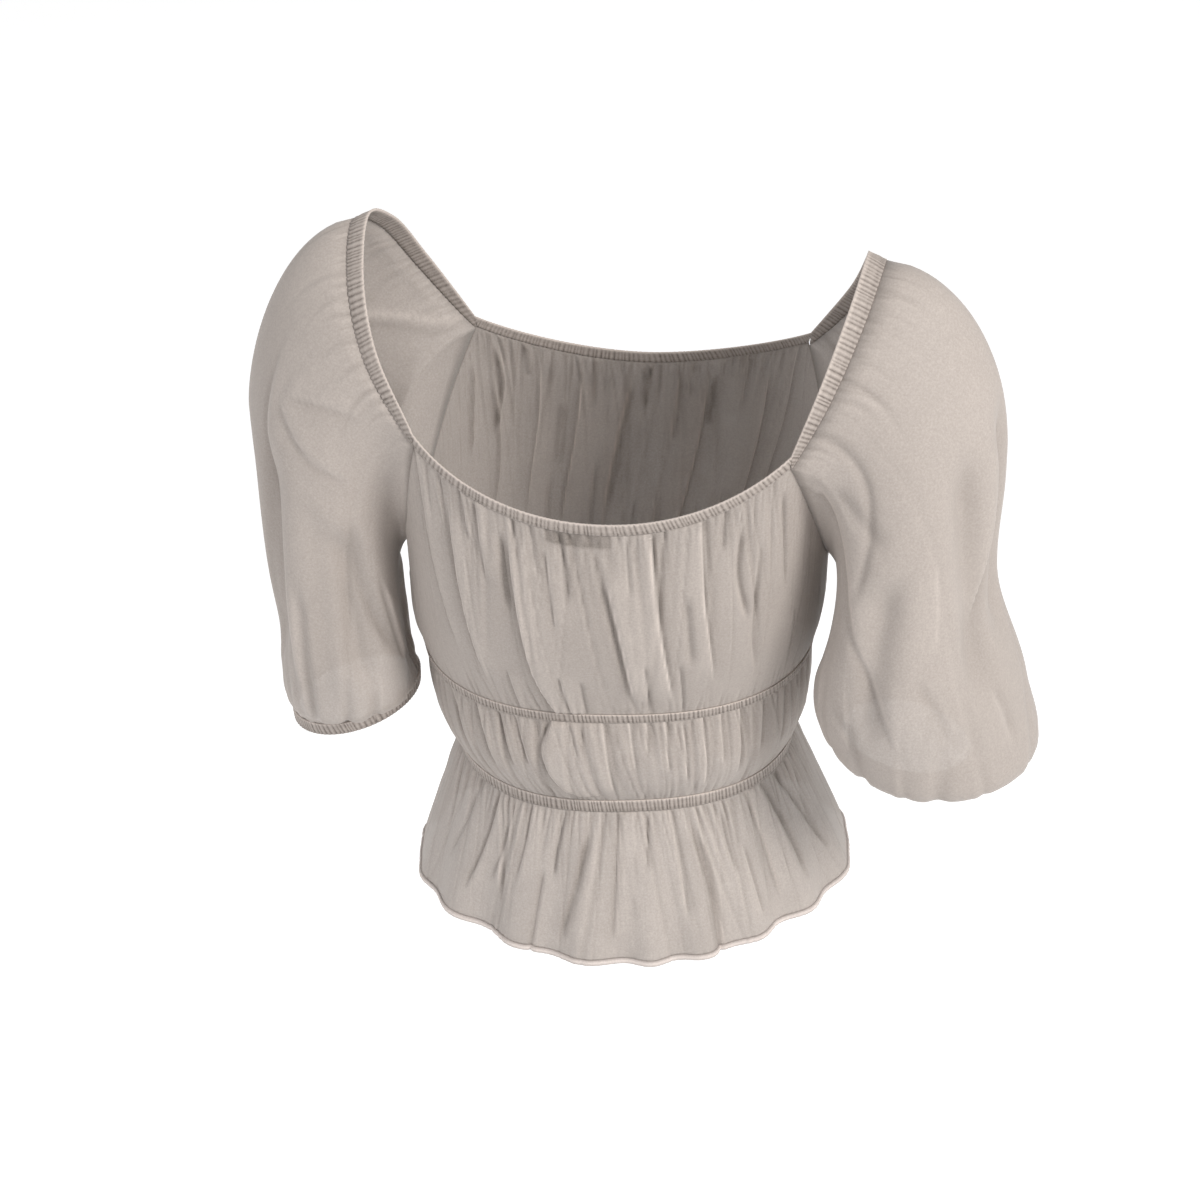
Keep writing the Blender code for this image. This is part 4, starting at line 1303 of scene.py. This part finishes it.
def cuff_casing(sleeve: Sleeve, seed: int) -> Piece:
    """The casing at the end of a sleeve."""
    ring = sleeve.points[-1]
    places = np.arange(len(ring) + 1)
    closed = np.concatenate([ring, ring[:1]])
    at = np.linspace(0, len(ring), CUFF_COLUMNS, endpoint=False)
    top = np.stack([np.interp(at, places, closed[:, axis]) for axis in range(3)], axis=1)
    centre = ring.mean(axis=0)
    outward = unit((top - centre) * (1.0 - UP))
    casing = Casing(top, top - UP * CUFF_CASING_HEIGHT, outward)
    return casing.finish(f"{sleeve.shape.side}_cuff_casing", SLEEVE_RIPPLE, seed, closed=True)


def hem_roll(node: str, peplum: Piece) -> Piece:
    """The narrow rolled hem along a peplum's lower edge."""
    top = peplum.points[-1]
    down = unit(peplum.points[-1] - peplum.points[-3])
    outward = peplum.normals[-1]
    casing = Casing(top, top + down * HEM_ROLL_HEIGHT, outward, rows=7)
    share = casing.share[:, None]
    relief = casing.relief
    relief.height += 0.0008 * np.sin(math.pi * share) ** 0.6
    # A painted highlight along the roll, and painted shade at its upper edge
    relief.light += 0.75 * np.exp(-(((share - 0.45) / 0.25) ** 2))
    relief.dark += 0.45 * np.exp(-((share / 0.14) ** 2))
    chance = np.random.default_rng(7)
    rope = np.sin(casing.s / 0.0045 * 2 * math.pi + chance.uniform(0, 1) + share * 1.5)
    relief.height += 0.00012 * rope
    return casing.piece(node, HEM_THICKNESS)


def neck_label() -> Piece:
    """The small blank label, sewn in behind the back neck casing."""
    top_z = BACK_NECK_Z - LABEL_DROP
    x = LABEL_SIDE + np.linspace(-LABEL_WIDTH / 2, LABEL_WIDTH / 2, 41)
    share = np.abs(x) / Torso.size(top_z, "half_width")
    angle = np.sign(x) * np.arcsin(share ** (SECTION_POWER / 2))
    top = TORSO_FORM.points(angle, Side.BACK, top_z, -LABEL_INSET)
    bottom = TORSO_FORM.points(angle, Side.BACK, top_z - LABEL_HEIGHT, -LABEL_INSET - LABEL_LEAN)
    outward = outward_normals(np.array([top, bottom]), np.zeros(3))[0]
    casing = Casing(top, bottom, outward, rows=17)
    relief = casing.relief
    relief.height += 0.0003 * np.sin(casing.s / 0.011) * np.sin(math.pi * casing.share[:, None])
    # A painted highlight along its upper and lower edges
    edge = np.minimum(casing.t, LABEL_HEIGHT - casing.t)
    relief.light += 0.35 * np.exp(-((edge / 0.0008) ** 2))
    return casing.piece("neck_label", LABEL_THICKNESS)


class NodeBench:
    """Adds nodes and links to one node tree."""

    def __init__(self, tree: bpy.types.NodeTree) -> None:
        """Works on a tree.

        Args:
            tree: The node tree.
        """
        self.tree = tree

    def add(self, kind: str, settings: dict | None = None, **inputs) -> bpy.types.Node:
        """Adds a node, with its settings and its inputs as values or as sockets to link."""
        node = self.tree.nodes.new(kind)
        for name, value in (settings or {}).items():
            setattr(node, name, value)
        for name, value in inputs.items():
            key = int(name[1:]) if name[0] == "i" and name[1:].isdigit() else name.replace("_", " ")
            socket = node.inputs[key]
            if isinstance(value, bpy.types.NodeSocket):
                self.tree.links.new(value, socket)
            else:
                socket.default_value = value
        return node

    def math(self, operation: str, a, b=0.0, c=0.0) -> bpy.types.NodeSocket:
        """A sum or other operation on up to three values."""
        return self.add("ShaderNodeMath", {"operation": operation}, i0=a, i1=b, i2=c).outputs[0]

    def noise(self, vector, scale: float, detail: float, roughness: float = 0.5) -> bpy.types.NodeSocket:
        """Noise at a scale for each metre."""
        return self.add(
            "ShaderNodeTexNoise", None, Vector=vector, Scale=scale, Detail=detail, Roughness=roughness
        ).outputs[0]

    def stretched(self, vector, size: tuple[float, float, float]) -> bpy.types.NodeSocket:
        """A vector multiplied in each direction."""
        node = self.add("ShaderNodeVectorMath", {"operation": "MULTIPLY"}, i0=vector, i1=size)
        return node.outputs[0]


def weave_group() -> bpy.types.NodeTree:
    """The plain weave that all the cloths share: thread height, gaps between threads, and slubs."""
    group = bpy.data.node_groups.new("plain_weave", "ShaderNodeTree")
    group.interface.new_socket("Pitch", in_out="INPUT", socket_type="NodeSocketFloat")
    for name in ("Height", "Gap", "Slub"):
        group.interface.new_socket(name, in_out="OUTPUT", socket_type="NodeSocketFloat")
    bench = NodeBench(group)
    entry = bench.add("NodeGroupInput")
    exit_node = bench.add("NodeGroupOutput")
    uv = bench.add("ShaderNodeUVMap", {"uv_map": "cloth"}).outputs[0]
    warp_drift = bench.noise(bench.stretched(uv, (1.0, 0.25, 1.0)), 220.0, 1.0)
    split = bench.add("ShaderNodeSeparateXYZ", None, Vector=uv)
    turns = bench.math("DIVIDE", 2 * math.pi, entry.outputs["Pitch"])
    shift = bench.math("MULTIPLY", warp_drift, 3.0)
    warp = bench.math("SINE", bench.math("ADD", bench.math("MULTIPLY", split.outputs[0], turns), shift))
    weft = bench.math("SINE", bench.math("ADD", bench.math("MULTIPLY", split.outputs[1], turns), shift))
    product = bench.math("MULTIPLY", warp, weft)
    height = bench.math("MULTIPLY_ADD", product, 0.5, 0.5)
    warp_slub = bench.noise(bench.stretched(uv, (*SLUB_SCALES, 1.0)), 1.0, 3.0, 0.6)
    weft_slub = bench.noise(bench.stretched(uv, (*SLUB_SCALES[::-1], 1.0)), 1.0, 3.0, 0.6)
    slub = bench.math("MULTIPLY", bench.math("ADD", warp_slub, weft_slub), 0.5)
    bench.tree.links.new(height, exit_node.inputs["Height"])
    bench.tree.links.new(bench.math("MULTIPLY_ADD", product, -0.5, 0.5), exit_node.inputs["Gap"])
    bench.tree.links.new(slub, exit_node.inputs["Slub"])
    return group


def cloth_material(name: str, finish: ClothFinish, weave: bpy.types.NodeTree) -> bpy.types.Material:
    """A cloth's material, from its own coordinates and the painted shade and painted highlight of its folds.

    Args:
        name: The material's name.
        finish: Its colours and surface.
        weave: The shared weave.

    Returns:
        The material.
    """
    material = bpy.data.materials.new(name)
    material.use_nodes = True
    tree = material.node_tree
    bench = NodeBench(tree)
    shader = tree.nodes["Principled BSDF"]
    place = bench.add("ShaderNodeTexCoord").outputs["Object"]
    # The painted shade (with the darker tone of seams and of what shows through) and the painted highlight,
    # written on the mesh
    dark = bench.add("ShaderNodeAttribute", {"attribute_name": "painted_shade_and_tone"}).outputs["Fac"]
    light = bench.add("ShaderNodeAttribute", {"attribute_name": "painted_highlight"}).outputs["Fac"]
    threads = bench.add("ShaderNodeGroup", {"node_tree": weave}, Pitch=finish.weave_pitch)
    cloud = bench.noise(place, CLOUD_SCALE, 3.0)
    grain = bench.noise(place, GRAIN_SCALE, 3.0, 0.75)
    slub = bench.math("SUBTRACT", threads.outputs["Slub"], 0.5)
    uneven = bench.math("MULTIPLY_ADD", slub, 1.7, bench.math("MULTIPLY_ADD", cloud, 0.3, -0.15))
    uneven = bench.math("ADD", uneven, bench.math("MULTIPLY_ADD", grain, 1.6, -0.8))
    amount = bench.math("ADD", dark, bench.math("MULTIPLY", uneven, 0.50))
    amount = bench.math("SUBTRACT", amount, bench.math("MULTIPLY", light, 0.55))
    tone = bench.math("MULTIPLY_ADD", amount, 1.0 - RAMP_MIDDLE, RAMP_MIDDLE)
    # The ramp runs from a painted-highlight colour through the cloth's own colour to the colour of painted
    # shade and darker tone
    ramp = bench.add("ShaderNodeValToRGB", None, Fac=tone)
    bright = tuple(min(1.0, value * BRIGHTER) for value in finish.light)
    first, last = ramp.color_ramp.elements
    first.color = (*bright, 1.0)
    last.color = (*finish.shade, 1.0)
    ramp.color_ramp.elements.new(RAMP_MIDDLE).color = (*finish.light, 1.0)
    tree.links.new(ramp.outputs["Color"], shader.inputs["Base Color"])
    if finish.alpha < 1.0:
        alpha = bench.math("MULTIPLY_ADD", dark, finish.fold_alpha, finish.alpha)
        alpha = bench.math("ADD", alpha, bench.math("MULTIPLY", light, finish.fold_alpha))
        alpha = bench.math("ADD", alpha, bench.math("MULTIPLY", slub, 0.35))
        alpha = bench.add("ShaderNodeClamp", None, Value=alpha, Min=0.05, Max=1.0).outputs[0]
        tree.links.new(alpha, shader.inputs["Alpha"])
    roughness = bench.math("MULTIPLY_ADD", grain, 0.16, finish.roughness - 0.08)
    tree.links.new(roughness, shader.inputs["Roughness"])
    crumple = bench.noise(bench.stretched(place, (1.0, 1.0, 0.45)), CRUMPLE_SCALE, 3.0, 0.55)
    crumple = bench.math("MULTIPLY", crumple, 0.9)
    height = bench.math("MULTIPLY_ADD", threads.outputs["Height"], 0.05, crumple)
    height = bench.math("MULTIPLY_ADD", slub, 0.12, height)
    bump = bench.add("ShaderNodeBump", None, Strength=finish.bump, Distance=0.002, Height=height)
    tree.links.new(bump.outputs[0], shader.inputs["Normal"])
    shader.inputs["Sheen Weight"].default_value = finish.sheen
    shader.inputs["Sheen Roughness"].default_value = 0.45
    shader.inputs["Sheen Tint"].default_value = (1.0, 0.97, 0.94, 1.0)
    shader.inputs["Specular IOR Level"].default_value = 0.25
    return material


@dataclass(frozen=True)
class Lamp:
    """A soft round lamp: its place, size, power and colour."""

    name: str
    place: tuple[float, float, float]
    size: float
    power: float
    colour: tuple[float, float, float]


LAMPS = (
    Lamp("key", (-1.6, 1.15, 1.35), 0.9, 52.0, (1.0, 0.985, 0.96)),
    Lamp("fill", (1.8, 0.9, 0.4), 1.4, 9.0, (0.97, 0.98, 1.0)),
)


def put(name: str, data: bpy.types.ID, axes: tuple[np.ndarray, ...], place: ArrayLike) -> bpy.types.Object:
    """Adds a camera or a lamp to the scene.

    Args:
        name: Its name.
        data: Its camera or lamp data.
        axes: Where its right, its top and its back face.
        place: Where it is.

    Returns:
        The new object.
    """
    matrix = np.eye(4)
    matrix[:3] = np.column_stack([*axes, place])
    thing = bpy.data.objects.new(name, data)
    thing.matrix_world = Matrix(matrix.tolist())
    bpy.context.scene.collection.objects.link(thing)
    return thing


@dataclass
class Studio:
    """The camera, lights and floor, as the photograph was taken."""

    azimuth: float = 188.0
    elevation: float = 35.0
    roll: float = -2.4
    distance: float = 1.64
    lens: float = 75.0
    sensor: float = 36.0
    aim: tuple[float, float, float] = (0.020, 0.0, -0.268)
    lamp_aim: tuple[float, float, float] = (0.0, 0.0, -0.25)
    world_strength: float = 0.58
    floor_z: float = -1.6
    floor_reach: float = 14.0
    floor_glow: float = 0.42

    def camera(self) -> None:
        """Puts the camera at the photograph's viewing angle."""
        a, e, r = (math.radians(value) for value in (self.azimuth, self.elevation, self.roll))
        back = np.array([math.sin(a) * math.cos(e), -math.cos(a) * math.cos(e), math.sin(e)])
        right = unit(np.cross(-back, UP))
        upward = np.cross(right, -back)
        turned_right = right * math.cos(r) + upward * math.sin(r)
        turned_up = -right * math.sin(r) + upward * math.cos(r)
        data = bpy.data.cameras.new("camera")
        data.lens = self.lens
        data.sensor_width = self.sensor
        data.clip_end = 50.0
        place = np.array(self.aim) + back * self.distance
        bpy.context.scene.camera = put("camera", data, (turned_right, turned_up, back), place)

    def light(self, lamp: Lamp) -> None:
        """Adds a lamp that faces the blouse."""
        data = bpy.data.lights.new(lamp.name, "AREA")
        data.shape = "DISK"
        data.size = lamp.size
        data.energy = lamp.power
        data.color = lamp.colour
        away = unit(np.array(lamp.place) - np.array(self.lamp_aim))
        side = unit(np.cross(UP, away))
        put(lamp.name, data, (side, np.cross(away, side), away), lamp.place)

    def build(self) -> None:
        """Adds the camera, the lights, the world and the pale floor."""
        self.camera()
        for lamp in LAMPS:
            self.light(lamp)
        world = bpy.data.worlds.new("studio")
        world.use_nodes = True
        background = world.node_tree.nodes["Background"]
        background.inputs["Color"].default_value = (1.0, 1.0, 1.0, 1.0)
        background.inputs["Strength"].default_value = self.world_strength
        bpy.context.scene.world = world
        bpy.context.scene.view_settings.view_transform = "Standard"
        mesh = bpy.data.meshes.new("floor")
        ways = ((-1, -1), (1, -1), (1, 1), (-1, 1))
        corners = [(x * self.floor_reach, y * self.floor_reach, self.floor_z) for x, y in ways]
        mesh.from_pydata(corners, [], [(0, 1, 2, 3)])
        floor = bpy.data.objects.new("floor", mesh)
        bpy.context.scene.collection.objects.link(floor)
        material = bpy.data.materials.new("pale_floor")
        material.use_nodes = True
        shader = material.node_tree.nodes["Principled BSDF"]
        shader.inputs["Base Color"].default_value = (0.93, 0.93, 0.93, 1.0)
        shader.inputs["Roughness"].default_value = 0.9
        shader.inputs["Emission Color"].default_value = (1.0, 1.0, 1.0, 1.0)
        shader.inputs["Emission Strength"].default_value = self.floor_glow
        mesh.materials.append(material)


class Blouse:
    """The whole blouse."""

    def __init__(self) -> None:
        """Makes the materials."""
        weave = weave_group()
        self.sheer = cloth_material("sheer_chiffon", SHEER, weave)
        self.casing = cloth_material("gathered_casing", CASING, weave)
        self.hem = cloth_material("rolled_hem", HEM, weave)
        self.tape = cloth_material("woven_tape", TAPE, weave)

    def half(self, side: Side, tables: tuple[tuple[Crease, ...], ...], seed: int) -> None:
        """Builds the panels, casings and hem of the back or the front.

        Args:
            side: The back or the front.
            tables: The creases of its bodice, midriff and peplum.
            seed: Which uneven rows of gathers it takes.
        """
        half = side.value
        neck, rib, waist = (f"{half}_{line}_casing" for line in ("neck", "rib", "waist"))
        panels = (
            (Bodice, "bodice", (0.36, 0.135), [neck, rib]),
            (Midriff, "midriff", (0.35, 0.075), [rib, waist]),
            (Peplum, "peplum", (0.40, 0.110), [waist]),
        )
        for i, (kind, name, flat, rests_on) in enumerate(panels):
            panel = kind(side, tables[i], seed + 10 * i).piece(f"{half}_{name}")
            panel.build(self.sheer, Slot.CHIFFON, flat, rests_on)
        roll = hem_roll(f"{half}_hem_roll", panel)
        roll.build(self.hem, Slot.CHIFFON, (0.42, 0.010), [f"{half}_peplum"], 0.0022)
        corner = TORSO_FORM.corner(side)
        neck_top = TORSO_FORM.neckline_z
        rib_top = risen(RIB_LINE_Z + RIB_CASING_HEIGHT / 2)
        waist_top = risen(WAIST_LINE_Z + WAIST_CASING_HEIGHT / 2)
        casings = (
            (neck, corner, neck_top, NECK_CASING_HEIGHT, NECK_RIPPLE, (0.30, 0.010), "bodice"),
            (rib, SIDE_ANGLE, rib_top, RIB_CASING_HEIGHT, RIB_RIPPLE, (0.40, 0.010), "bodice"),
            (waist, SIDE_ANGLE, waist_top, WAIST_CASING_HEIGHT, WAIST_RIPPLE, (0.36, 0.011), "midriff"),
        )
        for i, (node, limit, top_z, height, pitch, flat, panel_name) in enumerate(casings):
            casing = torso_casing(node, side, limit, top_z, height, pitch, seed + 3 + i)
            casing.build(self.casing, Slot.CASING, flat, [f"{half}_{panel_name}"])

    def sleeve(self, shape: SleeveShape, seed: int) -> None:
        """Builds one sleeve with its two casings."""
        sleeve = Sleeve(shape)
        side = shape.side
        sleeve.piece().build(self.sheer, Slot.CHIFFON, (0.36, 0.29), [f"{side}_shoulder_casing"])
        shoulder_casing(sleeve, seed).build(self.casing, Slot.CASING, (0.28, 0.013), [f"{side}_sleeve"])
        cuff_casing(sleeve, seed + 1).build(self.casing, Slot.CASING, (0.32, 0.011), [f"{side}_sleeve"])

    def build(self) -> None:
        """Builds every piece."""
        back = (BACK_BODICE_CREASES, BACK_MIDRIFF_CREASES, BACK_PEPLUM_CREASES)
        self.half(Side.BACK, back, 100)
        front = (similar(back[0], 3.0), similar(back[1], -4.0), similar(back[2], 5.0))
        self.half(Side.FRONT, front, 200)
        self.sleeve(LEFT_SLEEVE, 300)
        self.sleeve(RIGHT_SLEEVE, 320)
        neck_label().build(self.tape, Slot.LABEL, (0.040, 0.016), ["back_bodice"])


def main() -> None:
    """Loads the frame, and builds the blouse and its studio."""
    logging.basicConfig(level=logging.INFO, format="%(message)s")
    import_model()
    Studio().build()
    Blouse().build()


if __name__ == "__main__":
    main()
